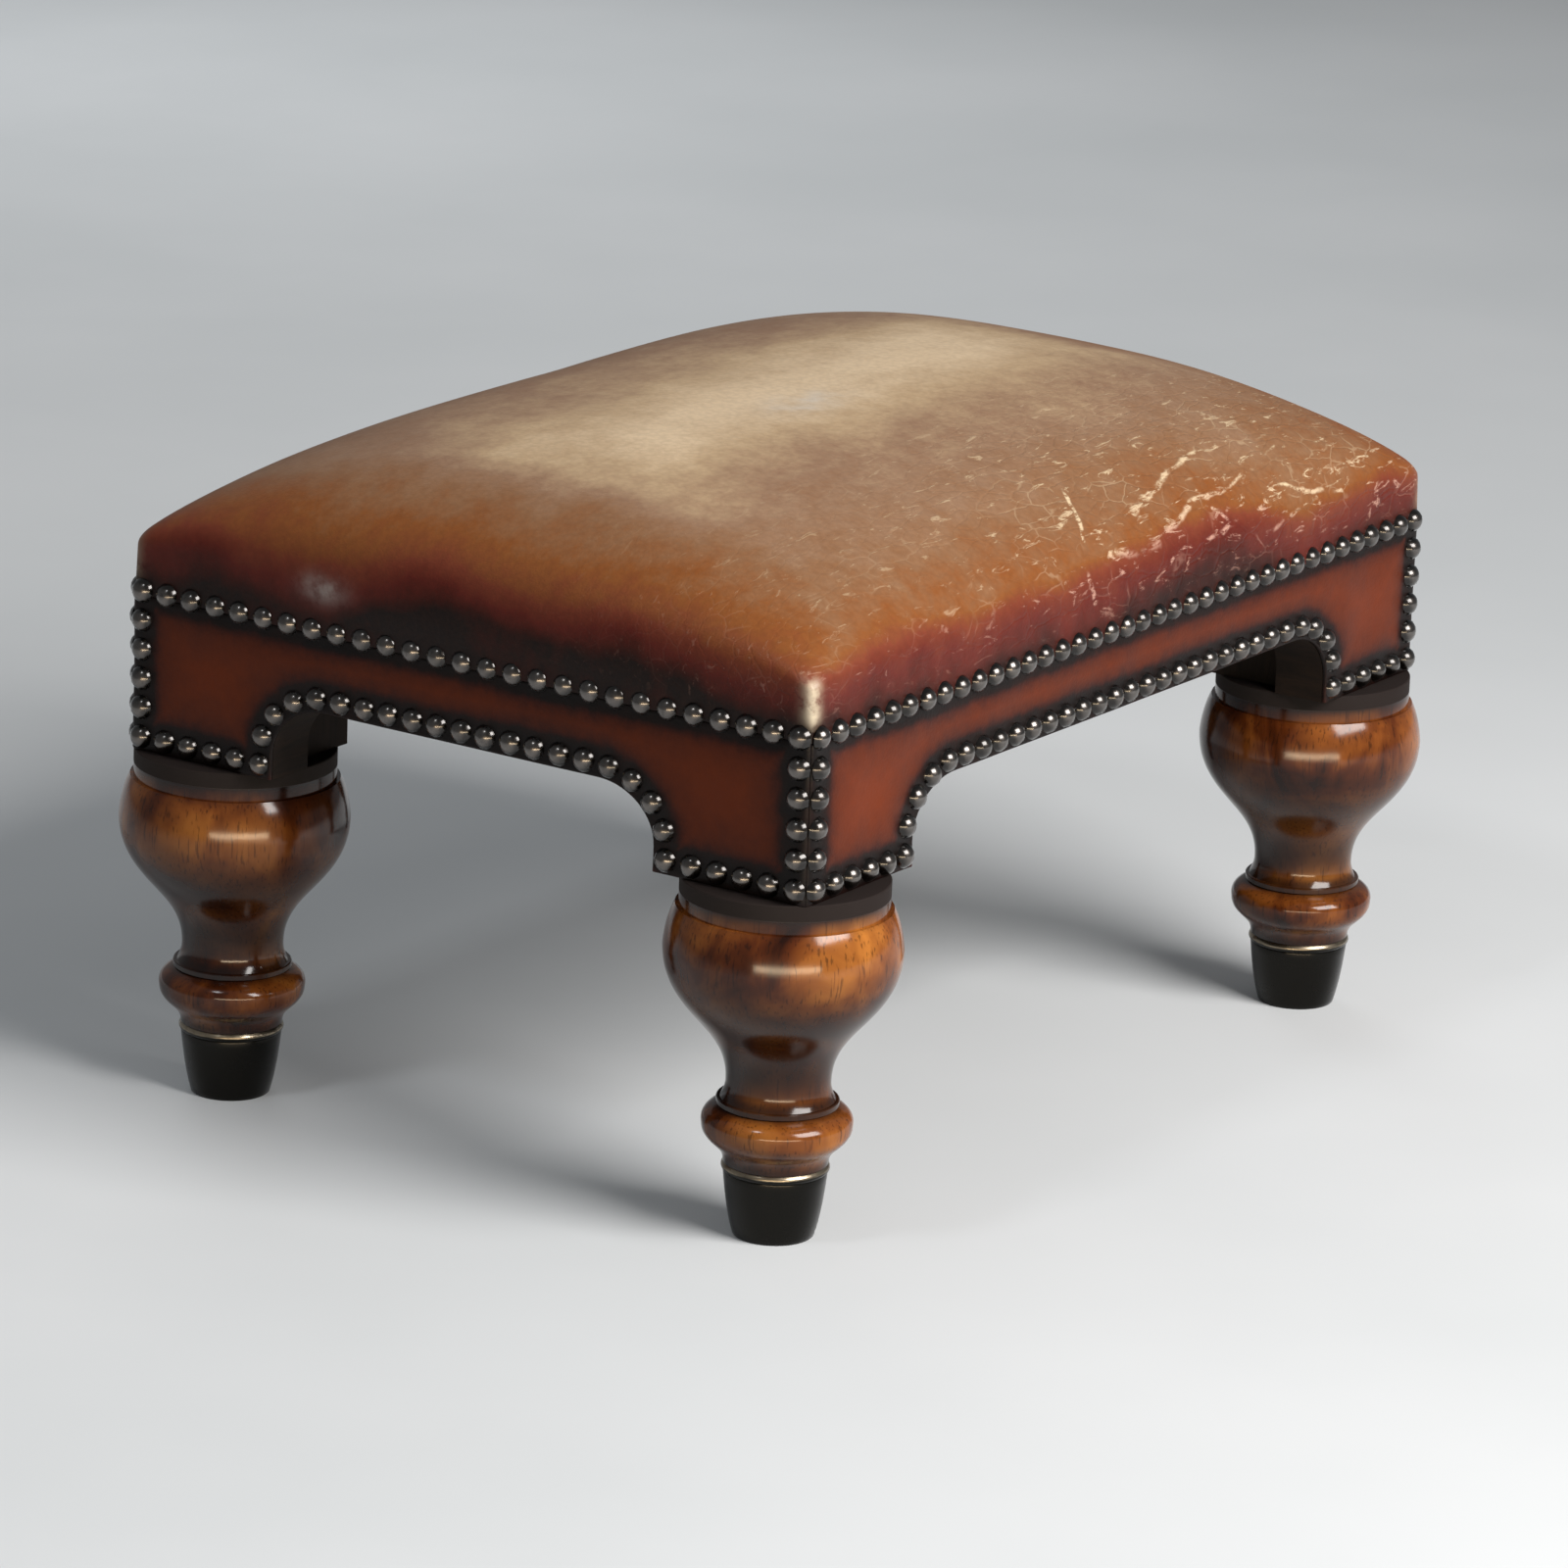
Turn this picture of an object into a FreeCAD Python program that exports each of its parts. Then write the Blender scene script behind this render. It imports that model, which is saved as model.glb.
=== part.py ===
import FreeCAD, Part
import os
from math import atan2, cos, pi, radians, sin, sqrt

V = FreeCAD.Vector
UP = V(0, 0, 1)
DOWN = V(0, 0, -1)
ORIGIN = V(0, 0, 0)

# All sizes are millimetres. Z = 0 is the floor, X runs along the long side, the front faces -Y.

# Body, measured over its leather
body_length = 480.0
body_width = 350.0
corner_round = 4.0
leather_thickness = 1.6

# Timber frame
block_underside = 154.5
rail_top = 232.0
rail_thickness = 24.0
post_width = 64.4
foot_width = 76.0
arch_rise = 34.5
arch_land = 10.5
arch_curve_run = 29.0

# Dowels that join each rail to its posts
dowel_radius = 4.0
dowel_in_rail = 22.0
dowel_in_post = 20.0
dowel_above_arch = 9.0
dowel_spacing = 18.0
dowel_face_distance = 12.0

# Leather seat, whose top rises in a superellipse along its length
nail_row_height = 224.5
seam_below_nails = 2.0
seam_gap = 0.3
wall_height = 20.0
crown_rise = 55.0
shoulder_radius = 34.0
crown_power = 3.17
crown_end_angle = 88.0
crown_slices = 11
corner_slack = 0.3

# Layers under the leather
layer_gap = 0.3
wadding_thickness = 6.0
calico_thickness = 0.8
hessian_thickness = 0.8

# Jute webbing
webbing_width = 50.0
webbing_thickness = 1.6
webbing_end_inset = 6.6
long_straps = 3
long_strap_spacing = 85.0
cross_straps = 4
cross_strap_spacing = 96.0
weave_gap = 0.2
weave_flat = 2.0

# Turned legs
leg_inset = 32.2
spigot_radius = 12.0
spigot_length = 45.0
spigot_clearance = 0.15
shoulder_disc_radius = 43.5
ball_top_radius = 45.0
ball_top_height = 142.0
ball_upper_radius = 48.0
ball_upper_height = 134.0
ball_radius = 49.6
ball_height = 124.5
ball_fall = 28.0
neck_lift = 25.0
neck_radius = 21.8
neck_height = 67.0
cove_radius = 22.3
cove_height = 63.2
ring_seat_radius = 24.0
ring_radius = 25.5
ring_top = 59.5
ring_width = 2.7
bead_seat_radius = 24.6
bead_shoulder_radius = 30.2
bead_shoulder_height = 53.2
bead_radius = 31.4
bead_height = 48.3
bead_fall = 8.0
ankle_radius = 21.9

# Ferrules on the feet
ferrule_height = 31.5
ferrule_foot_radius = 17.1
ferrule_belly_radius = 19.7
ferrule_belly_height = 12.0
ferrule_neck_radius = 21.7
ferrule_rim_radius = 22.6
ferrule_rim_width = 3.5
ferrule_wall = 1.2
ferrule_floor = 2.0
ferrule_fit = 0.15
seat_gap = 0.3

# Screw up through each ferrule
screw_head_radius = 3.5
screw_recess = 0.2
screw_shank_radius = 1.5
screw_length = 22.0
screw_tip = 3.0

# Domed nails in the leather
nail_head_radius = 5.5
nail_head_height = 4.3
nail_shank_radius = 0.8
nail_shank_length = 11.5
nail_clipped_length = 4.5
nail_tip = 1.5
nail_pitch = 12.8
nail_edge_distance = 6.0
nail_corner_distance = 6.2

# Plain tacks in webbing, hessian and dust cover
tack_head_radius = 2.6
tack_head_thickness = 0.6
tack_shank_radius = 0.7
tack_shank_length = 9.0
tack_tip = 2.0
tack_face_distance = 18.0
tacks_per_strap_end = 4
tack_strap_margin = 6.0
hessian_tack_edge = 5.0
drill_clearance = 0.05

# Dust cover under the frame
dust_cover_thickness = 0.8
dust_cover_edge = 9.0
dust_cover_notch_gap = 1.0
dust_tack_edge = 6.0
dust_tack_pitch = 52.0

# Cutting tools run past what they cut by this much
overcut = 1.0

# Pull of a curve's handles that makes it a quarter of an ellipse
quarter_pull = 4 * (sqrt(2) - 1) / 3

# Values worked out from those above
half_length = body_length / 2
half_width = body_width / 2
timber_x = half_length - leather_thickness
timber_y = half_width - leather_thickness
timber_round = corner_round - leather_thickness
post_reach = leather_thickness + post_width
arch_underside = block_underside + arch_rise
border_top = nail_row_height - seam_below_nails
wall_top = nail_row_height + wall_height
leg_x = half_length - leg_inset
leg_y = half_width - leg_inset
weave_lift = (webbing_thickness + weave_gap) / 2
webbing_top = rail_top + webbing_thickness + weave_lift
hessian_bottom = webbing_top + layer_gap
hessian_top = hessian_bottom + hessian_thickness
stuffing_bottom = hessian_top + tack_head_thickness + layer_gap / 2
wadding_inset = leather_thickness + layer_gap
calico_inset = wadding_inset + wadding_thickness + layer_gap
stuffing_inset = calico_inset + calico_thickness + layer_gap

# Each side: its length, the distance of its leather face from the centre, its turn about Z
sides = {
    "front": (body_length, half_width, 0),
    "right": (body_width, half_length, 90),
    "back": (body_length, half_width, 180),
    "left": (body_width, half_length, 270),
}
corners = {
    "front_left": (-1, -1),
    "front_right": (1, -1),
    "back_right": (1, 1),
    "back_left": (-1, 1),
}


# Small helpers
def line(a, b):
    return Part.LineSegment(a, b).toShape()


def arc(a, b, c):
    return Part.Arc(a, b, c).toShape()


def curve(*poles):
    bezier = Part.BezierCurve()
    bezier.setPoles(list(poles))
    return bezier.toShape()


def box(x1, x2, y1, y2, z1, z2):
    return Part.makeBox(x2 - x1, y2 - y1, z2 - z1, V(x1, y1, z1))


def rounded_block(length, width, radius, bottom, top):
    block = box(-length / 2, length / 2, -width / 2, width / 2, bottom, top)
    upright = [e for e in block.Edges if abs(e.tangentAt(e.FirstParameter).z) > 0.99]
    return block.makeFillet(radius, upright)


def turned(edges):
    return Part.Face(Part.Wire(edges)).revolve(ORIGIN, UP, 360)


def place(shape, point, outward):
    placed = shape.copy()
    placed.Placement = FreeCAD.Placement(point, FreeCAD.Rotation(UP, outward))
    return placed


def on_side(side, along, height):
    length, face, angle = sides[side]
    turn = FreeCAD.Rotation(UP, angle)
    return turn.multVec(V(along, -face, height)), turn.multVec(V(0, -1, 0))


def spread(start, end, pitch):
    count = max(1, round(abs(end - start) / pitch))
    return [start + (end - start) * k / count for k in range(count + 1)]


def drilled(shape, holes):
    near = [hole for hole in holes if shape.BoundBox.intersect(hole.BoundBox)]
    return shape.cut(near) if near else shape


# Outline of a side's arch, grown outwards by a distance, standing on a base height
def arch_path(length, grow, base):
    foot = length / 2 - foot_width + grow
    run = arch_curve_run + grow
    spring = block_underside + arch_land
    top = arch_underside + grow
    bend = (top - spring) * quarter_pull
    left = [
        V(-foot, 0, spring),
        V(-foot, 0, spring + bend),
        V(-foot + run * (1 - quarter_pull), 0, top),
        V(-foot + run, 0, top),
    ]
    right = [V(-p.x, 0, p.z) for p in reversed(left)]
    return [
        line(V(-foot, 0, base), left[0]),
        curve(*left),
        line(left[3], right[0]),
        curve(*right),
        line(right[3], V(foot, 0, base)),
    ]


# Rails, cut to an arch below
def make_rail(side):
    length, face, angle = sides[side]
    end = length / 2 - post_reach
    foot = length / 2 - foot_width
    outline = arch_path(length, 0, block_underside) + [
        line(V(foot, 0, block_underside), V(end, 0, block_underside)),
        line(V(end, 0, block_underside), V(end, 0, rail_top)),
        line(V(end, 0, rail_top), V(-end, 0, rail_top)),
        line(V(-end, 0, rail_top), V(-end, 0, block_underside)),
        line(V(-end, 0, block_underside), V(-foot, 0, block_underside)),
    ]
    rail = Part.Face(Part.Wire(outline)).extrude(V(0, rail_thickness, 0))
    rail.translate(V(0, leather_thickness - face, 0))
    return rail.rotate(ORIGIN, UP, angle)


# Corner posts, bored for the legs
def make_post(corner):
    sx, sy = corners[corner]
    x = sorted((sx * timber_x, sx * (timber_x - post_width)))
    y = sorted((sy * timber_y, sy * (timber_y - post_width)))
    frame = rounded_block(2 * timber_x, 2 * timber_y, timber_round, block_underside, rail_top)
    post = frame.common(box(*x, *y, block_underside, rail_top))
    bore = Part.makeCylinder(
        spigot_radius + spigot_clearance,
        spigot_length + seat_gap,
        V(sx * leg_x, sy * leg_y, block_underside),
    )
    return post.cut(bore)


# Dowels between rails and posts, with their holes
def make_dowels():
    dowels = []
    holes = []
    for side, (length, face, angle) in sides.items():
        for end in (-1, 1):
            joint = end * (length / 2 - post_reach)
            for step in (0, 1):
                height = arch_underside + dowel_above_arch + step * dowel_spacing
                point = V(joint - end * dowel_in_rail, leather_thickness + dowel_face_distance - face, height)
                along = V(end, 0, 0)
                length_over = dowel_in_rail + dowel_in_post
                dowel = Part.makeCylinder(dowel_radius, length_over, point, along)
                hole = Part.makeCylinder(
                    dowel_radius + drill_clearance,
                    length_over + 2 * seat_gap,
                    point - along * seat_gap,
                    along,
                )
                dowels.append(dowel.rotate(ORIGIN, UP, angle))
                holes.append(hole.rotate(ORIGIN, UP, angle))
    return dowels, holes


# Turned leg: spigot, shoulder disc, ball, waist, ring, bead and the taper in the ferrule
def make_leg():
    foot_bottom = ferrule_floor + seat_gap
    ankle = ferrule_height + seat_gap
    tenon_top = ferrule_neck_radius - ferrule_wall - ferrule_fit
    tenon_foot = ferrule_foot_radius - ferrule_wall - ferrule_fit
    spigot_top = block_underside + spigot_length
    ring_bottom = ring_top - ring_width
    edges = [
        line(V(0, 0, spigot_top), V(spigot_radius, 0, spigot_top)),
        line(V(spigot_radius, 0, spigot_top), V(spigot_radius, 0, block_underside)),
        line(V(spigot_radius, 0, block_underside), V(shoulder_disc_radius, 0, block_underside)),
        line(V(shoulder_disc_radius, 0, block_underside), V(shoulder_disc_radius, 0, ball_top_height)),
        line(V(shoulder_disc_radius, 0, ball_top_height), V(ball_top_radius, 0, ball_top_height)),
        arc(V(ball_top_radius, 0, ball_top_height), V(ball_upper_radius, 0, ball_upper_height),
            V(ball_radius, 0, ball_height)),
        curve(V(ball_radius, 0, ball_height), V(ball_radius, 0, ball_height - ball_fall),
              V(neck_radius, 0, neck_height + neck_lift), V(neck_radius, 0, neck_height)),
        arc(V(neck_radius, 0, neck_height), V(cove_radius, 0, cove_height),
            V(ring_seat_radius, 0, ring_top)),
        line(V(ring_seat_radius, 0, ring_top), V(ring_radius, 0, ring_top)),
        line(V(ring_radius, 0, ring_top), V(ring_radius, 0, ring_bottom)),
        line(V(ring_radius, 0, ring_bottom), V(bead_seat_radius, 0, ring_bottom)),
        arc(V(bead_seat_radius, 0, ring_bottom), V(bead_shoulder_radius, 0, bead_shoulder_height),
            V(bead_radius, 0, bead_height)),
        curve(V(bead_radius, 0, bead_height), V(bead_radius, 0, bead_height - bead_fall),
              V(ankle_radius, 0, ankle + bead_fall), V(ankle_radius, 0, ankle)),
        line(V(ankle_radius, 0, ankle), V(tenon_top, 0, ankle)),
        line(V(tenon_top, 0, ankle), V(tenon_foot, 0, foot_bottom)),
        line(V(tenon_foot, 0, foot_bottom), V(0, 0, foot_bottom)),
        line(V(0, 0, foot_bottom), V(0, 0, spigot_top)),
    ]
    pilot = Part.makeCylinder(screw_shank_radius + drill_clearance, screw_length + seat_gap)
    return turned(edges).cut(pilot)


# Ferrule: a cup with a rolled rim, countersunk below for its screw
def make_ferrule():
    rim_bottom = ferrule_height - ferrule_rim_width
    inner_top = ferrule_neck_radius - ferrule_wall
    inner_foot = ferrule_foot_radius - ferrule_wall
    head = screw_head_radius + drill_clearance
    shank = screw_shank_radius + drill_clearance
    sink = screw_recess + head - shank
    edges = [
        line(V(head, 0, 0), V(ferrule_foot_radius, 0, 0)),
        arc(V(ferrule_foot_radius, 0, 0), V(ferrule_belly_radius, 0, ferrule_belly_height),
            V(ferrule_neck_radius, 0, rim_bottom)),
        arc(V(ferrule_neck_radius, 0, rim_bottom),
            V(ferrule_rim_radius, 0, ferrule_height - ferrule_rim_width / 2),
            V(ferrule_neck_radius, 0, ferrule_height)),
        line(V(ferrule_neck_radius, 0, ferrule_height), V(inner_top, 0, ferrule_height)),
        line(V(inner_top, 0, ferrule_height), V(inner_foot, 0, ferrule_floor)),
        line(V(inner_foot, 0, ferrule_floor), V(shank, 0, ferrule_floor)),
        line(V(shank, 0, ferrule_floor), V(head, 0, screw_recess)),
        line(V(head, 0, screw_recess), V(head, 0, 0)),
    ]
    return turned(edges)


# Countersunk screw, seen from its head up to its tip
def make_screw():
    neck = ferrule_floor
    top = screw_length
    edges = [
        line(V(0, 0, screw_recess), V(screw_head_radius, 0, screw_recess)),
        line(V(screw_head_radius, 0, screw_recess), V(screw_shank_radius, 0, neck)),
        line(V(screw_shank_radius, 0, neck), V(screw_shank_radius, 0, top - screw_tip)),
        line(V(screw_shank_radius, 0, top - screw_tip), V(0, 0, top)),
        line(V(0, 0, top), V(0, 0, screw_recess)),
    ]
    return turned(edges)


# Domed nail, head up, its flat underside at the origin
def make_nail(shank_length):
    rise = nail_head_height
    ball = (nail_head_radius ** 2 + rise ** 2) / (2 * rise)
    half_turn = atan2(nail_head_radius, ball - rise) / 2
    shank_end = -shank_length + nail_tip
    edges = [
        arc(V(0, 0, rise), V(ball * sin(half_turn), 0, rise - ball + ball * cos(half_turn)),
            V(nail_head_radius, 0, 0)),
        line(V(nail_head_radius, 0, 0), V(nail_shank_radius, 0, 0)),
        line(V(nail_shank_radius, 0, 0), V(nail_shank_radius, 0, shank_end)),
        line(V(nail_shank_radius, 0, shank_end), V(0, 0, -shank_length)),
        line(V(0, 0, -shank_length), V(0, 0, rise)),
    ]
    return turned(edges)


# Flat-headed tack, its head's underside at the origin
def make_tack():
    shank_end = -tack_shank_length + tack_tip
    edges = [
        line(V(0, 0, tack_head_thickness), V(tack_head_radius, 0, tack_head_thickness)),
        line(V(tack_head_radius, 0, tack_head_thickness), V(tack_head_radius, 0, 0)),
        line(V(tack_head_radius, 0, 0), V(tack_shank_radius, 0, 0)),
        line(V(tack_shank_radius, 0, 0), V(tack_shank_radius, 0, shank_end)),
        line(V(tack_shank_radius, 0, shank_end), V(0, 0, -tack_shank_length)),
        line(V(0, 0, -tack_shank_length), V(0, 0, tack_head_thickness)),
    ]
    return turned(edges)


# Holes for pins whose heads lie at the given points
def pin_holes(spots, radius, depth):
    tool = Part.makeCylinder(
        radius + drill_clearance, depth + 2 * drill_clearance, V(0, 0, drill_clearance), DOWN
    )
    return [place(tool, point, outward) for point, outward in spots]


# Where the nails stand on one side
def top_row(side):
    end = sides[side][0] / 2 - nail_corner_distance
    return [on_side(side, s, nail_row_height) for s in spread(-end, end, nail_pitch)[1:-1]]


def lower_row(side):
    length = sides[side][0]
    base = block_underside + nail_edge_distance
    path = Part.Wire(arch_path(length, nail_edge_distance, base))
    gaps = round(path.Length / nail_pitch)
    spots = [(p.x, p.z) for p in path.discretize(Number=gaps + 1)]
    outer = length / 2 - nail_corner_distance
    inner = length / 2 - foot_width + nail_edge_distance
    foot = spread(inner, outer, nail_pitch)[1:-1]
    spots += [(s, base) for s in foot] + [(-s, base) for s in foot]
    return [on_side(side, s, z) for s, z in spots]


def corner_column(side, end):
    along = end * (sides[side][0] / 2 - nail_corner_distance)
    base = block_underside + nail_edge_distance
    return [on_side(side, along, z) for z in spread(base, nail_row_height, nail_pitch)]


# One slice across the seat: upright walls and a crown of three arcs
def crown_slice(x, half, bottom, rise, shoulder):
    crown = (half ** 2 + rise ** 2 - 2 * half * shoulder) / (2 * (rise - shoulder))
    lean = atan2(half - shoulder, crown - rise)
    middle = (lean + pi / 2) / 2
    centre = half - shoulder
    join = V(x, centre + shoulder * sin(lean), wall_top + shoulder * cos(lean))
    swell = V(x, centre + shoulder * sin(middle), wall_top + shoulder * cos(middle))
    edge = V(x, half, wall_top)
    foot = V(x, half, bottom)

    def other(p):
        return V(p.x, -p.y, p.z)

    return Part.Wire([
        line(other(foot), foot),
        line(foot, edge),
        arc(edge, swell, join),
        arc(join, V(x, 0, wall_top + rise), other(join)),
        arc(other(join), other(swell), other(edge)),
        line(other(edge), other(foot)),
    ])


# The seat's crowned form, drawn in from the leather's face by an inset
def crown_form(inset, bottom):
    rise = crown_rise - inset
    reach = half_length - inset
    half = half_width - inset
    slices = []
    for k in range(crown_slices):
        turn = radians(crown_end_angle) * (2 * k / (crown_slices - 1) - 1)
        share = abs(sin(turn) / sin(radians(crown_end_angle))) ** (2 / crown_power)
        x = reach * share * (1 if turn > 0 else -1)
        local_rise = rise * cos(turn) ** (2 / crown_power)
        shoulder = (shoulder_radius - inset) * local_rise / rise
        slices.append(crown_slice(x, half, bottom, local_rise, shoulder))
    form = Part.makeLoft(slices, True, False)
    corner = max(corner_round - inset, layer_gap) + corner_slack * sqrt(2) / (sqrt(2) - 1)
    plan = rounded_block(
        2 * (reach + corner_slack),
        2 * (half + corner_slack),
        corner,
        bottom - corner_slack,
        wall_top + crown_rise + corner_slack,
    )
    return form.common(plan).Solids[0]


def crown_shell(inset, thickness, bottom):
    inner = crown_form(inset + thickness, bottom - overcut)
    return crown_form(inset, bottom).cut(inner).Solids[0]


# Leather border of one side, mitred at the corners and cut to the arch
def make_border(side):
    length, face, angle = sides[side]
    long_side = 2 * face
    outer = rounded_block(length, long_side, corner_round, block_underside, border_top)
    inner = rounded_block(
        length - 2 * leather_thickness,
        long_side - 2 * leather_thickness,
        timber_round,
        block_underside,
        border_top,
    )
    mitre = 2 * corner_round
    plan = [
        V(-length / 2 - mitre, -face - mitre, block_underside),
        V(length / 2 + mitre, -face - mitre, block_underside),
        V(length / 2 - mitre, -face + mitre, block_underside),
        V(-length / 2 + mitre, -face + mitre, block_underside),
    ]
    wedge = Part.Face(Part.makePolygon(plan + [plan[0]])).extrude(V(0, 0, border_top - block_underside))
    base = block_underside - overcut
    foot = length / 2 - foot_width
    opening = Part.Wire(arch_path(length, 0, base) + [line(V(foot, 0, base), V(-foot, 0, base))])
    window = Part.Face(opening).extrude(V(0, leather_thickness + 2 * overcut, 0))
    window.translate(V(0, -face - overcut, 0))
    panel = outer.cut(inner).common(wedge).cut(window)
    return panel.rotate(ORIGIN, UP, angle)


# One webbing strap along X, woven over and under the straps that it crosses
def make_strap(reach, crossings, first_over):
    ground = rail_top + webbing_thickness / 2
    flat = webbing_width / 2 + weave_flat
    line_points = [(-reach[0], ground), (-reach[1], ground)]
    over = first_over
    for x in crossings:
        height = ground + (weave_lift if over else -weave_lift)
        line_points += [(x - flat, height), (x + flat, height)]
        over = not over
    line_points += [(reach[1], ground), (reach[0], ground)]
    half = webbing_thickness / 2
    rim = [V(x, 0, z - half) for x, z in line_points]
    rim += [V(x, 0, z + half) for x, z in reversed(line_points)]
    strap = Part.Face(Part.makePolygon(rim + [rim[0]])).extrude(V(0, webbing_width, 0))
    strap.translate(V(0, -webbing_width / 2, 0))
    return strap


def strap_places(count, spacing):
    return [spacing * (k - (count - 1) / 2) for k in range(count)]


def strap_tacks(end, across):
    reach = webbing_width / 2 - tack_strap_margin
    steps = tacks_per_strap_end - 1
    return [(end, across + reach * (2 * k / steps - 1)) for k in range(tacks_per_strap_end)]


# All webbing straps, with the places of their tacks
def make_webbing():
    straps = {}
    spots = []
    long_places = strap_places(long_straps, long_strap_spacing)
    cross_places = strap_places(cross_straps, cross_strap_spacing)
    inner_x = timber_x - rail_thickness
    inner_y = timber_y - rail_thickness
    tack_x = half_length - tack_face_distance
    tack_y = half_width - tack_face_distance
    for i, y in enumerate(long_places):
        reach = (half_length - webbing_end_inset, inner_x)
        strap = make_strap(reach, cross_places, i % 2 == 0)
        strap.translate(V(0, y, 0))
        straps["webbing_long_%d" % (i + 1)] = strap
        for end in (-1, 1):
            spots += strap_tacks(end * tack_x, y)
    for j, x in enumerate(cross_places):
        reach = (half_width - webbing_end_inset, inner_y)
        strap = make_strap(reach, long_places, j % 2 == 1)
        strap.rotate(ORIGIN, UP, 90)
        strap.translate(V(x, 0, 0))
        straps["webbing_cross_%d" % (j + 1)] = strap
        for end in (-1, 1):
            spots += [(across, along) for along, across in strap_tacks(end * tack_y, x)]
    top = rail_top + webbing_thickness
    return straps, [(V(x, y, top), UP) for x, y in spots]


# Tacks of the hessian stand between the straps, near its edge
def hessian_tack_spots():
    spots = []
    x_edge = half_length - stuffing_inset - hessian_tack_edge
    y_edge = half_width - stuffing_inset - hessian_tack_edge
    between_long = strap_places(long_straps - 1, long_strap_spacing)
    between_cross = strap_places(cross_straps - 1, cross_strap_spacing)
    for end in (-1, 1):
        spots += [V(end * x_edge, y, hessian_top) for y in between_long]
        spots += [V(x, end * y_edge, hessian_top) for x in between_cross]
    return [(point, UP) for point in spots]


def make_hessian():
    x = half_length - stuffing_inset
    y = half_width - stuffing_inset
    return box(-x, x, -y, y, hessian_bottom, hessian_top)


# Dust cover: tacked under the straight part of each rail and notched round the posts
def make_dust_cover():
    bottom = arch_underside - dust_cover_thickness
    edge_x = half_length - dust_cover_edge
    edge_y = half_width - dust_cover_edge
    straight_x = half_length - foot_width - arch_curve_run
    straight_y = half_width - foot_width - arch_curve_run
    inner_x = timber_x - rail_thickness - layer_gap
    inner_y = timber_y - rail_thickness - layer_gap
    along = box(-edge_x, edge_x, -straight_y, straight_y, bottom, arch_underside)
    across = box(-straight_x, straight_x, -edge_y, edge_y, bottom, arch_underside)
    middle = box(-inner_x, inner_x, -inner_y, inner_y, bottom, arch_underside)
    cover = middle.fuse([along, across]).removeSplitter()
    notch_x = half_length - post_reach - dust_cover_notch_gap
    notch_y = half_width - post_reach - dust_cover_notch_gap
    for sx, sy in corners.values():
        x = sorted((sx * notch_x, sx * half_length))
        y = sorted((sy * notch_y, sy * half_width))
        cover = cover.cut(box(*x, *y, bottom - overcut, arch_underside + overcut))
    return cover


def dust_tack_spots():
    spots = []
    bottom = arch_underside - dust_cover_thickness
    for side, (length, face, angle) in sides.items():
        end = length / 2 - foot_width - arch_curve_run - dust_tack_edge
        inset = dust_cover_edge + dust_tack_edge
        for s in spread(-end, end, dust_tack_pitch):
            point, outward = on_side(side, s, bottom)
            spots.append((point - outward * inset, DOWN))
    return spots


# Build everything
def build():
    parts = {}

    nail = make_nail(nail_shank_length)
    clipped_nail = make_nail(nail_clipped_length)
    tack = make_tack()
    dowels, holes = make_dowels()
    parts["rail_dowels"] = Part.makeCompound(dowels)

    for side in sides:
        for name, spots in (("nails_top_", top_row(side)), ("nails_arch_", lower_row(side))):
            parts[name + side] = Part.makeCompound([place(nail, p, n) for p, n in spots])
            holes += pin_holes(spots, nail_shank_radius, nail_shank_length)
    meetings = {
        "front_left": (("front", -1), ("left", 1)),
        "front_right": (("front", 1), ("right", -1)),
        "back_right": (("right", 1), ("back", -1)),
        "back_left": (("back", 1), ("left", -1)),
    }
    for corner, columns in meetings.items():
        spots = [spot for side, end in columns for spot in corner_column(side, end)]
        parts["nails_corner_" + corner] = Part.makeCompound([place(clipped_nail, p, n) for p, n in spots])
        holes += pin_holes(spots, nail_shank_radius, nail_clipped_length)

    straps, webbing_spots = make_webbing()
    groups = {
        "webbing_tacks": webbing_spots,
        "hessian_tacks": hessian_tack_spots(),
        "dust_cover_tacks": dust_tack_spots(),
    }
    for name, spots in groups.items():
        parts[name] = Part.makeCompound([place(tack, p, n) for p, n in spots])
        holes += pin_holes(spots, tack_shank_radius, tack_shank_length)

    for name, strap in straps.items():
        parts[name] = drilled(strap, holes)
    parts["seat_hessian"] = drilled(make_hessian(), holes)
    parts["dust_cover"] = drilled(make_dust_cover(), holes)
    for side in sides:
        parts["rail_" + side] = drilled(make_rail(side), holes)
        parts["border_" + side] = drilled(make_border(side), holes)
    for corner in corners:
        parts["corner_post_" + corner] = drilled(make_post(corner), holes)

    parts["seat_stuffing"] = crown_form(stuffing_inset, stuffing_bottom)
    parts["calico_cover"] = crown_shell(calico_inset, calico_thickness, rail_top)
    parts["seat_wadding"] = crown_shell(wadding_inset, wadding_thickness, rail_top)
    top_leather = crown_shell(0, leather_thickness, border_top + seam_gap)
    parts["top_leather"] = drilled(top_leather, holes)

    leg = make_leg()
    ferrule = make_ferrule()
    screws = []
    for corner, (sx, sy) in corners.items():
        foot = V(sx * leg_x, sy * leg_y, 0)
        parts["leg_" + corner] = place(leg, foot, UP)
        parts["ferrule_" + corner] = place(ferrule, foot, UP)
        screws.append(place(make_screw(), foot, UP))
    parts["ferrule_screws"] = Part.makeCompound(screws)
    return parts


os.makedirs("parts", exist_ok=True)
for name, shape in build().items():
    shape.exportStep("parts/" + name + ".step")
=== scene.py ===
from math import asin, copysign, cos, exp, hypot, pi, radians, sin
from random import Random

import bpy
from mathutils import Euler, Matrix, Vector, noise
from mathutils.kdtree import KDTree


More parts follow.
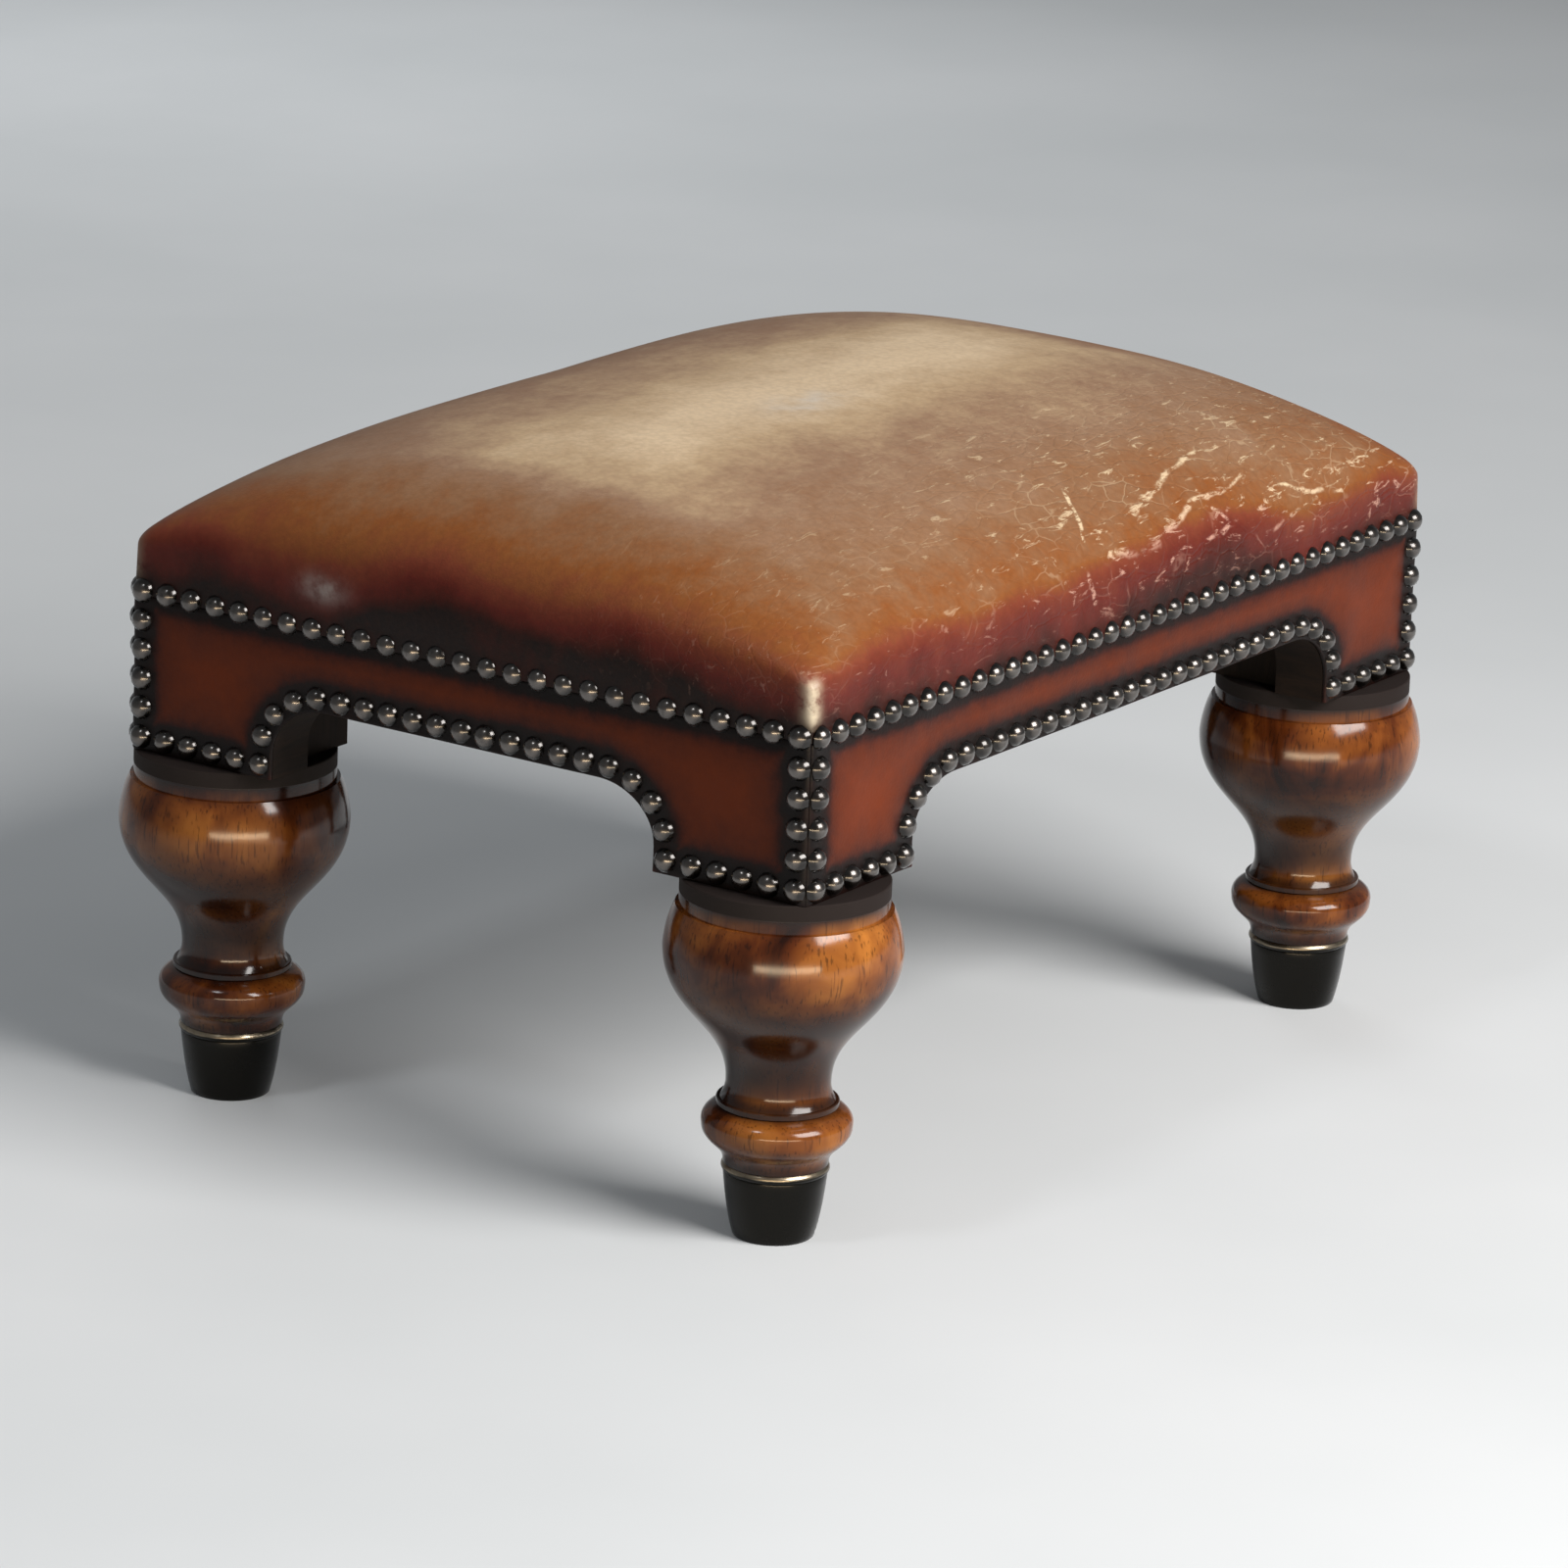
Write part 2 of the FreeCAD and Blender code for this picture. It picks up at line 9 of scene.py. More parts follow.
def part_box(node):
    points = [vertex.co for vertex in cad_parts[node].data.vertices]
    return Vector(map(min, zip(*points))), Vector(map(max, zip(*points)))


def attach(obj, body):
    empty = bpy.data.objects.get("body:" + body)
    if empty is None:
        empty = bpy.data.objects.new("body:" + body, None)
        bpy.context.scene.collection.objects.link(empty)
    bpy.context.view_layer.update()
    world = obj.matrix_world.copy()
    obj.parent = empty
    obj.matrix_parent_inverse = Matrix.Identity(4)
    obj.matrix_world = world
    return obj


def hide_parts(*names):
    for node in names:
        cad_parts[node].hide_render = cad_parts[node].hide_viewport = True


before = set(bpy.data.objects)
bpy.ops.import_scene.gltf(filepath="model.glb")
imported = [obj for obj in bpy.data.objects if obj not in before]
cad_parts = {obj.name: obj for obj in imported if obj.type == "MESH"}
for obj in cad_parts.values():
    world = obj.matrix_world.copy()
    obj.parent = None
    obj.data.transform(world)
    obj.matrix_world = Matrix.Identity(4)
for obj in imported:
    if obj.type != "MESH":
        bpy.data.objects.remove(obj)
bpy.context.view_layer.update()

# All sizes are metres, in the frame's own axes: the front faces -Y and Z = 0 is the floor.

# Body, read from the frame
seat_low, seat_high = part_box("top_leather")
border_low, border_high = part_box("border_front")
half_length = seat_high.x
half_width = seat_high.y
skirt_bottom = seat_low.z
crown_top = seat_high.z
block_underside = border_low.z
border_top = border_high.z
rail_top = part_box("rail_front")[1].z
leather_thickness = 0.0016
corner_round = 0.004
nail_row_height = border_top + 0.002

# Seat cover
wall_top = nail_row_height + 0.020
start_crown_top = crown_top - 0.0028
length_power = 3.17
width_power = 2.21
shoulder_corner = 0.006
layer_corner = 0.014
seat_columns = 112
seat_rows = 84
wall_rows = 5
cloth_frames = 20
cloth_pressure = 2.5
cloth_reach = 0.0030
swell_evenings = 12
swell_from_corner = (0.012, 0.075)
swell_full_above_nails = 0.010

# Folds at the nails: depth, height over which they fade, and where they end
fold_depth = 0.0009
fold_fade = 0.010
fold_end = 0.04

# Borders and the arch in each of them
foot_width = 0.076
arch_land = 0.0105
arch_rise = 0.0345
arch_run = 0.029
border_step = 0.0025
border_rows = 26
border_puff = 0.0011
puff_reach = 0.009
rim_bevel = 0.0005

# Handle length that makes a cubic curve a quarter circle, as a share of its radius
quarter_circle = 0.5523

# How far the top ends of a border's mesh lines stand off the foot's corners, so that they fan out
fan_at_foot = 0.034
fan_at_spring = 0.020
fan_at_arch_top = 0.004

# Nails
nail_radius = 0.0055
nail_pitch = 0.0128
neighbour_reach = 1.3 * nail_pitch
nail_height = -half_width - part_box("nails_top_front")[0].y
nail_shank_radius = 0.0008
nail_sides = 12
nail_rings = 4
nail_sink = 0.0003
nail_lean = radians(5)
nail_widths = (0.97, 1.03)
nail_heights = (0.95, 1.08)

# Legs: radii and heights of the turning
leg_inset = 0.0322
leg_steps = 72
foot_height = 0.0023
foot_radius = 0.01575
ankle_height = 0.0318
ankle_radius = 0.0219
bead_radius = 0.0314
bead_height = 0.0483
ring_low = 0.0568
ring_high = 0.0595
ring_radius = 0.0255
neck_radius = 0.0218
neck_height = 0.0670
ball_radius = 0.0496
ball_height = 0.1245
ball_top_radius = 0.0450
ball_top = 0.1420
collar_radius = 0.0435
spigot_radius = 0.0120
spigot_length = 0.045

# Ferrules
rim_height = 0.0315
rim_low = 0.028
base_thickness = 0.002
screw_hole_radius = 0.00355
screw_bore_radius = 0.00155
screw_bore_top = 0.0223

# Layers under the seat cover
wadding_inset = 0.0019
wadding_thickness = 0.006
calico_inset = 0.0082
calico_thickness = 0.0008
stuffing_inset = 0.0093
stuffing_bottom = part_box("seat_stuffing")[0].z

# Dust cover: inner edges of the rails, corners cut round the posts, mesh step and sag
rail_inner = (0.2141, 0.1491)
post_notch = (0.1730, 0.1080)
cloth_step = 0.005
cloth_sag = 0.0025
cloth_ripple = 0.0004
sag_run = 0.05

sides = {
    "front": (half_length, half_width, 0),
    "right": (half_width, half_length, 90),
    "back": (half_length, half_width, 180),
    "left": (half_width, half_length, 270),
}
corners = {
    "front_left": (-1, -1),
    "front_right": (1, -1),
    "back_right": (1, 1),
    "back_left": (-1, 1),
}


# Modelling helpers
def select_only(piece):
    bpy.ops.object.select_all(action="DESELECT")
    piece.select_set(True)
    bpy.context.view_layer.objects.active = piece


def edit(piece, kind="VERT"):
    select_only(piece)
    bpy.ops.object.mode_set(mode="EDIT")
    bpy.ops.mesh.select_mode(type=kind)
    bpy.ops.mesh.select_all(action="SELECT")


def leave():
    bpy.ops.object.mode_set(mode="OBJECT")


def named(name):
    piece = bpy.context.object
    piece.name = name
    piece.data.name = name
    return piece


def settle(piece):
    select_only(piece)
    bpy.ops.object.transform_apply(location=True, rotation=True, scale=True)


def apply_modifier(piece, kind, **settings):
    select_only(piece)
    modifier = piece.modifiers.new(kind.lower(), kind)
    for key, value in settings.items():
        setattr(modifier, key, value)
    bpy.ops.object.modifier_apply(modifier=modifier.name)


def smooth(piece, angle=radians(35)):
    select_only(piece)
    bpy.ops.object.shade_smooth_by_angle(angle=angle)


def copied(model, name, place=(0, 0, 0)):
    select_only(model)
    bpy.ops.object.duplicate(linked=False)
    piece = named(name)
    piece.location = place
    settle(piece)
    return piece


def joined(pieces, name):
    bpy.ops.object.select_all(action="DESELECT")
    for piece in pieces:
        piece.select_set(True)
    bpy.context.view_layer.objects.active = pieces[0]
    if len(pieces) > 1:
        bpy.ops.object.join()
    piece = named(name)
    settle(piece)
    return piece


def remove(piece):
    select_only(piece)
    bpy.ops.object.delete()


def dress(piece, finish, node=None):
    piece.data.materials.clear()
    piece.data.materials.append(finish)
    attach(piece, "root")
    if node:
        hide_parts(node)


def paint(piece, name, values):
    layer = piece.data.attributes.new(name, "FLOAT", "POINT")
    layer.data.foreach_set("value", values)


def grid(name, columns, rows):
    bpy.ops.object.select_all(action="DESELECT")
    bpy.ops.mesh.primitive_grid_add(x_subdivisions=columns, y_subdivisions=rows, size=2)
    return named(name)


# A profile of (radius, height) points from the foot up, spun round the Z axis
def turned(name, profile, steps):
    bpy.ops.object.select_all(action="DESELECT")
    bpy.ops.mesh.primitive_plane_add(size=0.001, location=(profile[0][0], 0, profile[0][1]))
    piece = named(name)
    settle(piece)
    edit(piece)
    bpy.ops.mesh.merge(type="CENTER")
    for (r, z), (next_r, next_z) in zip(profile, profile[1:]):
        bpy.ops.mesh.extrude_region_move(TRANSFORM_OT_translate={"value": (next_r - r, 0, next_z - z)})
    bpy.ops.mesh.select_all(action="SELECT")
    bpy.ops.mesh.spin(steps=steps, angle=2 * pi, center=(0, 0, 0), axis=(0, 0, 1))
    bpy.ops.mesh.select_all(action="SELECT")
    bpy.ops.mesh.remove_doubles(threshold=1e-6)
    bpy.ops.mesh.normals_make_consistent(inside=False)
    leave()
    return piece


# Points on a cubic curve, without its first point
def sweep(a, b, c, d, count):
    points = []
    for k in range(1, count + 1):
        t = k / count
        weights = ((1 - t) ** 3, 3 * t * (1 - t) ** 2, 3 * t * t * (1 - t), t ** 3)
        points.append(tuple(sum(w * p[i] for w, p in zip(weights, (a, b, c, d))) for i in (0, 1)))
    return points


# Points on a bow from a to b that passes through the point via, without its first point
def bow(a, via, b, count):
    pull = tuple(2 * via[i] - (a[i] + b[i]) / 2 for i in (0, 1))
    points = []
    for k in range(1, count + 1):
        t = k / count
        points.append(tuple((1 - t) ** 2 * a[i] + 2 * t * (1 - t) * pull[i] + t * t * b[i] for i in (0, 1)))
    return points


# A point given along a side, outwards from its leather face, and up
def on_side(side, along, out, height):
    half, face, angle = sides[side]
    return Matrix.Rotation(radians(angle), 4, "Z") @ Vector((along, -face - out, height))


# Where the nails stand, as (point under the head, outward direction, shank length)
def nail_places(node):
    probe = copied(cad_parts[node], "probe")
    probe.parent = None
    edit(probe)
    bpy.ops.mesh.remove_doubles(threshold=1e-6)
    bpy.ops.mesh.separate(type="LOOSE")
    leave()
    places = []
    loose = list(bpy.context.selected_objects)
    for part in loose:
        low = Vector([min(v.co[i] for v in part.data.vertices) for i in range(3)])
        high = Vector([max(v.co[i] for v in part.data.vertices) for i in range(3)])
        middle = (low + high) / 2
        size = high - low
        axis = 0 if abs(size.x - size.z) > abs(size.y - size.z) else 1
        outward = Vector((0, 0, 0))
        outward[axis] = copysign(1, middle[axis])
        point = middle + outward * (size[axis] / 2 - nail_height)
        places.append((point, outward, size[axis] - nail_height))
    for part in loose:
        bpy.data.objects.remove(part)
    return sorted(places, key=lambda place: tuple(round(c, 5) for c in place[0]))


nail_nodes = sorted(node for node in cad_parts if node.startswith("nails_"))
nails = {node: nail_places(node) for node in nail_nodes}
nail_tree = KDTree(sum(len(places) for places in nails.values()))
for index, (point, outward, shank) in enumerate(place for node in nail_nodes for place in nails[node]):
    nail_tree.insert(point, index)
nail_tree.balance()


# Distance to the nail row: to the line between the two nearest nails where they are neighbours
def nail_distance(point):
    (a, _, distance), (b, _, _) = nail_tree.find_n(point, 2)
    run = b - a
    if run.length > neighbour_reach:
        return distance
    share = max(0.0, min(1.0, (point - a).dot(run) / run.length_squared))
    return (point - a - run * share).length


# Shader helpers
def new_finish(name):
    finish = bpy.data.materials.new(name)
    finish.use_nodes = True
    return finish.node_tree, finish.node_tree.nodes["Principled BSDF"], finish


def add(tree, kind, inputs=(), **settings):
    node = tree.nodes.new("ShaderNode" + kind)
    for key, value in settings.items():
        setattr(node, key, value)
    for key, value in dict(inputs).items():
        if isinstance(value, bpy.types.NodeSocket):
            tree.links.new(value, node.inputs[key])
        else:
            node.inputs[key].default_value = value
    return node


def calc(tree, operation, a, b=0.0, clamp=False):
    return add(tree, "Math", {0: a, 1: b}, operation=operation, use_clamp=clamp).outputs[0]


def mixed(tree, factor, a, b, blend="MIX"):
    node = add(tree, "Mix", data_type="RGBA", blend_type=blend)
    for socket, value in (("Factor_Float", factor), ("A_Color", a), ("B_Color", b)):
        target = next(s for s in node.inputs if s.identifier == socket)
        if isinstance(value, bpy.types.NodeSocket):
            tree.links.new(value, target)
        else:
            target.default_value = value if socket == "Factor_Float" else (*value, 1)
    return next(s for s in node.outputs if s.identifier == "Result_Color")


def ramp(tree, factor, stops, smooth_steps=False):
    node = add(tree, "ValToRGB", {"Fac": factor})
    node.color_ramp.interpolation = "EASE" if smooth_steps else "LINEAR"
    elements = node.color_ramp.elements
    while len(elements) < len(stops):
        elements.new(0.5)
    for element, (position, colour) in zip(elements, stops):
        element.position = position
        element.color = (*colour, 1) if hasattr(colour, "__len__") else (colour, colour, colour, 1)
    return node.outputs["Color"]


def remap(tree, value, low, high, to_low=0.0, to_high=1.0, curve="SMOOTHSTEP"):
    sockets = {"Value": value, "From Min": low, "From Max": high, "To Min": to_low, "To Max": to_high}
    return add(tree, "MapRange", sockets, interpolation_type=curve, clamp=True).outputs["Result"]


def place_of(tree, scale=(1, 1, 1)):
    coordinates = add(tree, "TexCoord").outputs["Object"]
    if scale == (1, 1, 1):
        return coordinates
    return add(tree, "Mapping", {"Vector": coordinates, "Scale": scale}).outputs["Vector"]


def cloud(tree, where, scale, detail=3.0, roughness=0.5, distortion=0.0):
    sockets = {
        "Vector": where,
        "Scale": scale,
        "Detail": detail,
        "Roughness": roughness,
        "Distortion": distortion,
    }
    return add(tree, "TexNoise", sockets).outputs["Fac"]


def cells(tree, where, scale, feature="F1", randomness=1.0):
    sockets = {"Vector": where, "Scale": scale, "Randomness": randomness}
    return add(tree, "TexVoronoi", sockets, feature=feature).outputs["Distance"]


def painted(tree, name):
    return add(tree, "Attribute", attribute_name=name).outputs["Fac"]


def bump(tree, height, distance, strength=1.0, below=None):
    sockets = {"Height": height, "Distance": distance, "Strength": strength}
    if below is not None:
        sockets["Normal"] = below
    return add(tree, "Bump", sockets).outputs["Normal"]


def connect(tree, shader, **sockets):
    for name, value in sockets.items():
        tree.links.new(value, shader.inputs[name.replace("_", " ")])


# Leather grain: small pebbles with fine pores
def leather_grain(tree, where):
    pebbles = cells(tree, where, 900.0, "SMOOTH_F1")
    pores = cloud(tree, where, 2600.0, 2.0)
    swell = cloud(tree, where, 38.0, 3.0)
    grain = bump(tree, pebbles, 0.00012, 0.5)
    grain = bump(tree, pores, 0.00005, 0.35, grain)
    return bump(tree, swell, 0.0012, 0.25, grain)


# Pale scuffs in the seat: half width, strength, and points on its plan; a third number puts one on a wall
scuffs = [
    (0.0022, 1.00, [(0.017, -0.161), (0.049, -0.153), (0.082, -0.146)]),
    (0.0016, 0.75, [(0.082, -0.146), (0.127, -0.139), (0.179, -0.132)]),
    (0.0015, 1.00, [(-0.009, -0.141), (-0.018, -0.153), (-0.026, -0.166)]),
    (0.0021, 0.85, [(0.032, -0.171), (0.058, -0.165), (0.086, -0.164)]),
    (0.0015, 0.65, [(0.086, -0.164), (0.128, -0.157), (0.166, -0.149)]),
    (0.0018, 0.90, [(0.070, -0.169), (0.077, -0.173)]),
    (0.0018, 0.80, [(0.124, -0.168), (0.147, -0.173), (0.169, -0.174)]),
    (0.0015, 0.55, [(0.026, -0.114), (0.054, -0.107)]),
    (0.0014, 0.45, [(-0.030, -0.098), (-0.012, -0.090)]),
    (0.0020, 0.80, [(0.056, -0.175, 0.248), (0.085, -0.175, 0.253)]),
    (0.0028, 0.60, [(-0.012, -0.172), (0.021, -0.173)]),
    (0.0026, 0.95, [(-0.036, -0.175, 0.254), (-0.033, -0.175, 0.240)]),
    (0.0018, 0.60, [(0.106, -0.175, 0.243), (0.149, -0.175, 0.251)]),
    (0.0022, 0.45, [(-0.114, -0.175, 0.246), (-0.106, -0.175, 0.252)]),
]


def seat_surface(x, y):
    long_share = max(0.0, 1 - abs(x / half_length) ** length_power) ** (1 / length_power)
    wide_share = max(0.0, 1 - abs(y / half_width) ** width_power) ** (1 / width_power)
    return wall_top + (start_crown_top - wall_top) * long_share * wide_share


# Nearness to a broken line through points, from 1 on it to 0 at its half width
def stroke(tree, where, points, half_width_of_stroke):
    nearest = None
    for a, b in zip(points, points[1:]):
        a = Vector(a)
        run = Vector(b) - a
        from_a = add(tree, "VectorMath", {0: where, 1: a}, operation="SUBTRACT").outputs["Vector"]
        sockets = {0: from_a, 1: run / run.length_squared}
        share = add(tree, "VectorMath", sockets, operation="DOT_PRODUCT").outputs["Value"]
        share = calc(tree, "MAXIMUM", calc(tree, "MINIMUM", share, 1.0), 0.0)
        along = add(tree, "VectorMath", {0: run, "Scale": share}, operation="SCALE").outputs["Vector"]
        distance = add(tree, "VectorMath", {0: from_a, 1: along}, operation="DISTANCE").outputs["Value"]
        nearest = distance if nearest is None else calc(tree, "MINIMUM", nearest, distance)
    return remap(tree, nearest, 0.0, half_width_of_stroke, 1.0, 0.0)


def seat_hide():
    tree, shader, finish = new_finish("seat_hide")
    where = place_of(tree)
    mottle = cloud(tree, where, 17.0, 5.0, 0.6)
    fine = cloud(tree, where, 95.0, 4.0, 0.65)
    level = painted(tree, "wear")
    level = calc(tree, "ADD", level, remap(tree, mottle, 0.25, 0.75, -0.06, 0.06, "LINEAR"))
    level = calc(tree, "ADD", level, remap(tree, fine, 0.25, 0.75, -0.045, 0.045, "LINEAR"))
    colour = ramp(tree, level, [
        (0.00, (0.008, 0.002, 0.001)),
        (0.10, (0.045, 0.006, 0.003)),
        (0.24, (0.130, 0.018, 0.011)),
        (0.38, (0.200, 0.043, 0.020)),
        (0.52, (0.245, 0.080, 0.020)),
        (0.62, (0.262, 0.128, 0.060)),
        (0.72, (0.308, 0.180, 0.106)),
        (0.86, (0.495, 0.345, 0.202)),
        (1.00, (0.680, 0.515, 0.335)),
    ])
    pebbles = cells(tree, where, 420.0, "SMOOTH_F1")
    colour = mixed(tree, remap(tree, pebbles, 0.15, 0.75, 0.0, 0.13), colour, (0.05, 0.018, 0.008))
    wobble = add(tree, "TexNoise", {"Vector": where, "Scale": 60.0, "Detail": 3.0}).outputs["Color"]
    shift = add(tree, "VectorMath", {0: wobble, 1: (0.5, 0.5, 0.5)}, operation="SUBTRACT").outputs["Vector"]
    bent = add(tree, "VectorMath", {0: shift, 1: (0.008,) * 3, 2: where}, operation="MULTIPLY_ADD")
    bent = bent.outputs["Vector"]
    scuffed = None
    for reach, strength, line_points in scuffs:
        lifted = [point if len(point) == 3 else (*point, seat_surface(*point)) for point in line_points]
        near = calc(tree, "MULTIPLY", stroke(tree, bent, lifted, reach * 1.25), strength)
        scuffed = near if scuffed is None else calc(tree, "MAXIMUM", scuffed, near)
    broken = remap(tree, cloud(tree, place_of(tree, (110, 320, 260)), 1.0, 4.0, 0.75), 0.40, 0.56)
    scuffed = calc(tree, "MULTIPLY", remap(tree, scuffed, 0.10, 0.80), broken)
    scratches = cloud(tree, place_of(tree, (70, 260, 200)), 1.0, 4.0, 0.7, 0.8)
    scratches = remap(tree, scratches, 0.58, 0.70)
    scratches = calc(tree, "MULTIPLY", scratches, painted(tree, "scuffed"))
    stretched = add(tree, "Mapping", {"Vector": bent, "Scale": (60, 130, 110)}).outputs["Vector"]
    creases = cells(tree, stretched, 1.0, "DISTANCE_TO_EDGE")
    patches = remap(tree, cloud(tree, where, 34.0, 3.0, 0.6), 0.50, 0.64)
    crackle = calc(tree, "MULTIPLY", remap(tree, creases, 0.0, 0.05, 0.30, 0.0), patches)
    crackle = calc(tree, "MULTIPLY", crackle, painted(tree, "scuffed"))
    pale = calc(tree, "MAXIMUM", calc(tree, "MAXIMUM", scuffed, scratches), crackle, True)
    bared = mixed(tree, remap(tree, level, 0.30, 0.66), (0.60, 0.33, 0.25), (0.76, 0.60, 0.38))
    colour = mixed(tree, calc(tree, "MULTIPLY", pale, 0.85), colour, bared)
    # A pale rubbed spot on the top, and a painted reflection on the left wall
    spot = calc(tree, "MULTIPLY", painted(tree, "rubbed_and_reflection"), remap(tree, fine, 0.35, 0.65, 0.3, 1.0))
    colour = mixed(tree, spot, colour, (0.56, 0.52, 0.47))
    # Painted highlight in pale gold on the corner ridges, which wear also makes glossier
    ridge_wear_and_highlight = painted(tree, "ridge_wear_and_highlight")
    ridge_painted_highlight = calc(tree, "MULTIPLY", ridge_wear_and_highlight, remap(tree, fine, 0.30, 0.55))
    colour = mixed(tree, ridge_painted_highlight, colour, (0.92, 0.78, 0.55))
    rough = remap(tree, mottle, 0.3, 0.7, 0.38, 0.50, "LINEAR")
    rough = calc(tree, "SUBTRACT", rough, calc(tree, "MULTIPLY", ridge_wear_and_highlight, 0.16))
    grain = leather_grain(tree, where)
    crease_depth = remap(tree, creases, 0.0, 0.09)
    crease_depth = calc(tree, "MULTIPLY", calc(tree, "SUBTRACT", crease_depth, 1.0), painted(tree, "scuffed"))
    grain = bump(tree, crease_depth, 0.0004, 0.5, grain)
    grain = bump(tree, pale, 0.0004, 0.35, grain)
    connect(tree, shader, Base_Color=colour, Roughness=rough, Normal=grain)
    shader.inputs["Specular IOR Level"].default_value = 0.20
    return finish


def border_hide():
    tree, shader, finish = new_finish("border_hide")
    where = place_of(tree)
    mottle = cloud(tree, where, 30.0, 5.0, 0.6)
    fine = cloud(tree, where, 170.0, 4.0, 0.65)
    # The open level carries dark dye and painted shade along the nail rows
    level = painted(tree, "open")
    level = calc(tree, "ADD", level, remap(tree, mottle, 0.25, 0.75, -0.14, 0.14, "LINEAR"))
    level = calc(tree, "ADD", level, remap(tree, fine, 0.25, 0.75, -0.10, 0.10, "LINEAR"))
    colour = ramp(tree, level, [
        (0.00, (0.004, 0.0015, 0.001)),
        (0.16, (0.010, 0.0022, 0.001)),
        (0.34, (0.045, 0.0075, 0.003)),
        (0.55, (0.092, 0.0155, 0.0040)),
        (1.00, (0.165, 0.0265, 0.0045)),
    ])
    rough = remap(tree, mottle, 0.3, 0.7, 0.38, 0.52, "LINEAR")
    connect(tree, shader, Base_Color=colour, Roughness=rough, Normal=leather_grain(tree, where))
    shader.inputs["Specular IOR Level"].default_value = 0.18
    return finish


def polished_walnut():
    tree, shader, finish = new_finish("polished_walnut")
    streaks = cloud(tree, place_of(tree, (34, 34, 17)), 1.0, 4.0, 0.52, 0.9)
    figure = cloud(tree, place_of(tree, (17, 17, 30)), 1.0, 3.0, 0.5, 0.5)
    pores = cloud(tree, place_of(tree, (900, 900, 70)), 1.0, 2.0)
    level = calc(tree, "ADD", calc(tree, "MULTIPLY", streaks, 0.55), calc(tree, "MULTIPLY", figure, 0.60))
    colour = ramp(tree, level, [
        (0.40, (0.018, 0.0035, 0.001)),
        (0.50, (0.100, 0.022, 0.004)),
        (0.60, (0.260, 0.074, 0.012)),
        (0.74, (0.500, 0.175, 0.030)),
    ])
    colour = mixed(tree, remap(tree, pores, 0.30, 0.45, 0.55, 0.0), colour, (0.010, 0.004, 0.002))
    # Dark wax in the grooves, and painted shade under the ball and on the collar beneath the block
    colour = mixed(tree, painted(tree, "wax_and_shade"), colour, (0.010, 0.004, 0.0025))
    rough = remap(tree, streaks, 0.3, 0.7, 0.17, 0.12, "LINEAR")
    rough = calc(tree, "ADD", rough, remap(tree, painted(tree, "wax_and_shade"), 0.91, 1.0, 0.0, 0.70))
    ripple = bump(tree, figure, 0.0006, 0.25)
    connect(tree, shader, Base_Color=colour, Roughness=rough, Normal=ripple)
    shader.inputs["Specular IOR Level"].default_value = 0.36
    return finish


# Dark metal, worn bright where the painted crown is high
def aged_bronze(name, dark, worn, scale, lacquer):
    tree, shader, finish = new_finish(name)
    where = place_of(tree)
    patina = cloud(tree, where, scale, 4.0, 0.6)
    speckle = cloud(tree, where, scale * 6, 3.0, 0.6)
    level = calc(tree, "ADD", painted(tree, "crown"), remap(tree, patina, 0.25, 0.75, -0.25, 0.25, "LINEAR"))
    colour = mixed(tree, remap(tree, level, 0.45, 1.00), dark, worn)
    colour = mixed(tree, remap(tree, speckle, 0.55, 0.75, 0.0, 0.5), colour, dark)
    rough = remap(tree, patina, 0.3, 0.7, 0.34, 0.24, "LINEAR")
    normal = bump(tree, speckle, 0.00008, 0.25)
    connect(tree, shader, Base_Color=colour, Roughness=rough, Normal=normal)
    shader.inputs["Metallic"].default_value = 1.0
    shader.inputs["Coat Weight"].default_value = lacquer
    shader.inputs["Coat Roughness"].default_value = 0.14
    return finish


def timber(name, light, dark, grain_scale):
    tree, shader, finish = new_finish(name)
    rings = cloud(tree, place_of(tree, grain_scale), 1.0, 5.0, 0.6, 1.2)
    flecks = cloud(tree, place_of(tree, tuple(6 * s for s in grain_scale)), 1.0, 2.0)
    colour = ramp(tree, rings, [(0.30, dark), (0.70, light)])
    colour = mixed(tree, remap(tree, flecks, 0.58, 0.70, 0.0, 0.5), colour, dark)
    connect(tree, shader, Base_Color=colour, Normal=bump(tree, flecks, 0.0002, 0.4))
    shader.inputs["Roughness"].default_value = 0.7
    shader.inputs["Specular IOR Level"].default_value = 0.15
    return finish


def steel(name, bright, dull):
    tree, shader, finish = new_finish(name)
    tarnish = cloud(tree, place_of(tree), 420.0, 4.0, 0.6)
    colour = ramp(tree, tarnish, [(0.35, dull), (0.65, bright)])
    rough = remap(tree, tarnish, 0.3, 0.7, 0.55, 0.32, "LINEAR")
    connect(tree, shader, Base_Color=colour, Roughness=rough)
    shader.inputs["Metallic"].default_value = 1.0
    return finish


# Plain weave with threads along X and Y
def woven(name, light, dark, thread, roughness=0.9):
    tree, shader, finish = new_finish(name)
    where = place_of(tree)
    parts = add(tree, "SeparateXYZ", {0: where}).outputs
    waves = []
    for axis in ("X", "Y"):
        turns = calc(tree, "MULTIPLY", parts[axis], pi / thread)
        waves.append(calc(tree, "ABSOLUTE", calc(tree, "SINE", turns)))
    weave = calc(tree, "MULTIPLY", waves[0], waves[1])
    slub = cloud(tree, where, 0.35 / thread, 4.0, 0.6)
    level = calc(tree, "MULTIPLY", weave, remap(tree, slub, 0.3, 0.7, 0.7, 1.1, "LINEAR"))
    colour = ramp(tree, level, [(0.0, dark), (0.75, light)])
    connect(tree, shader, Base_Color=colour, Normal=bump(tree, weave, thread * 0.25, 0.6))
    shader.inputs["Roughness"].default_value = roughness
    return finish


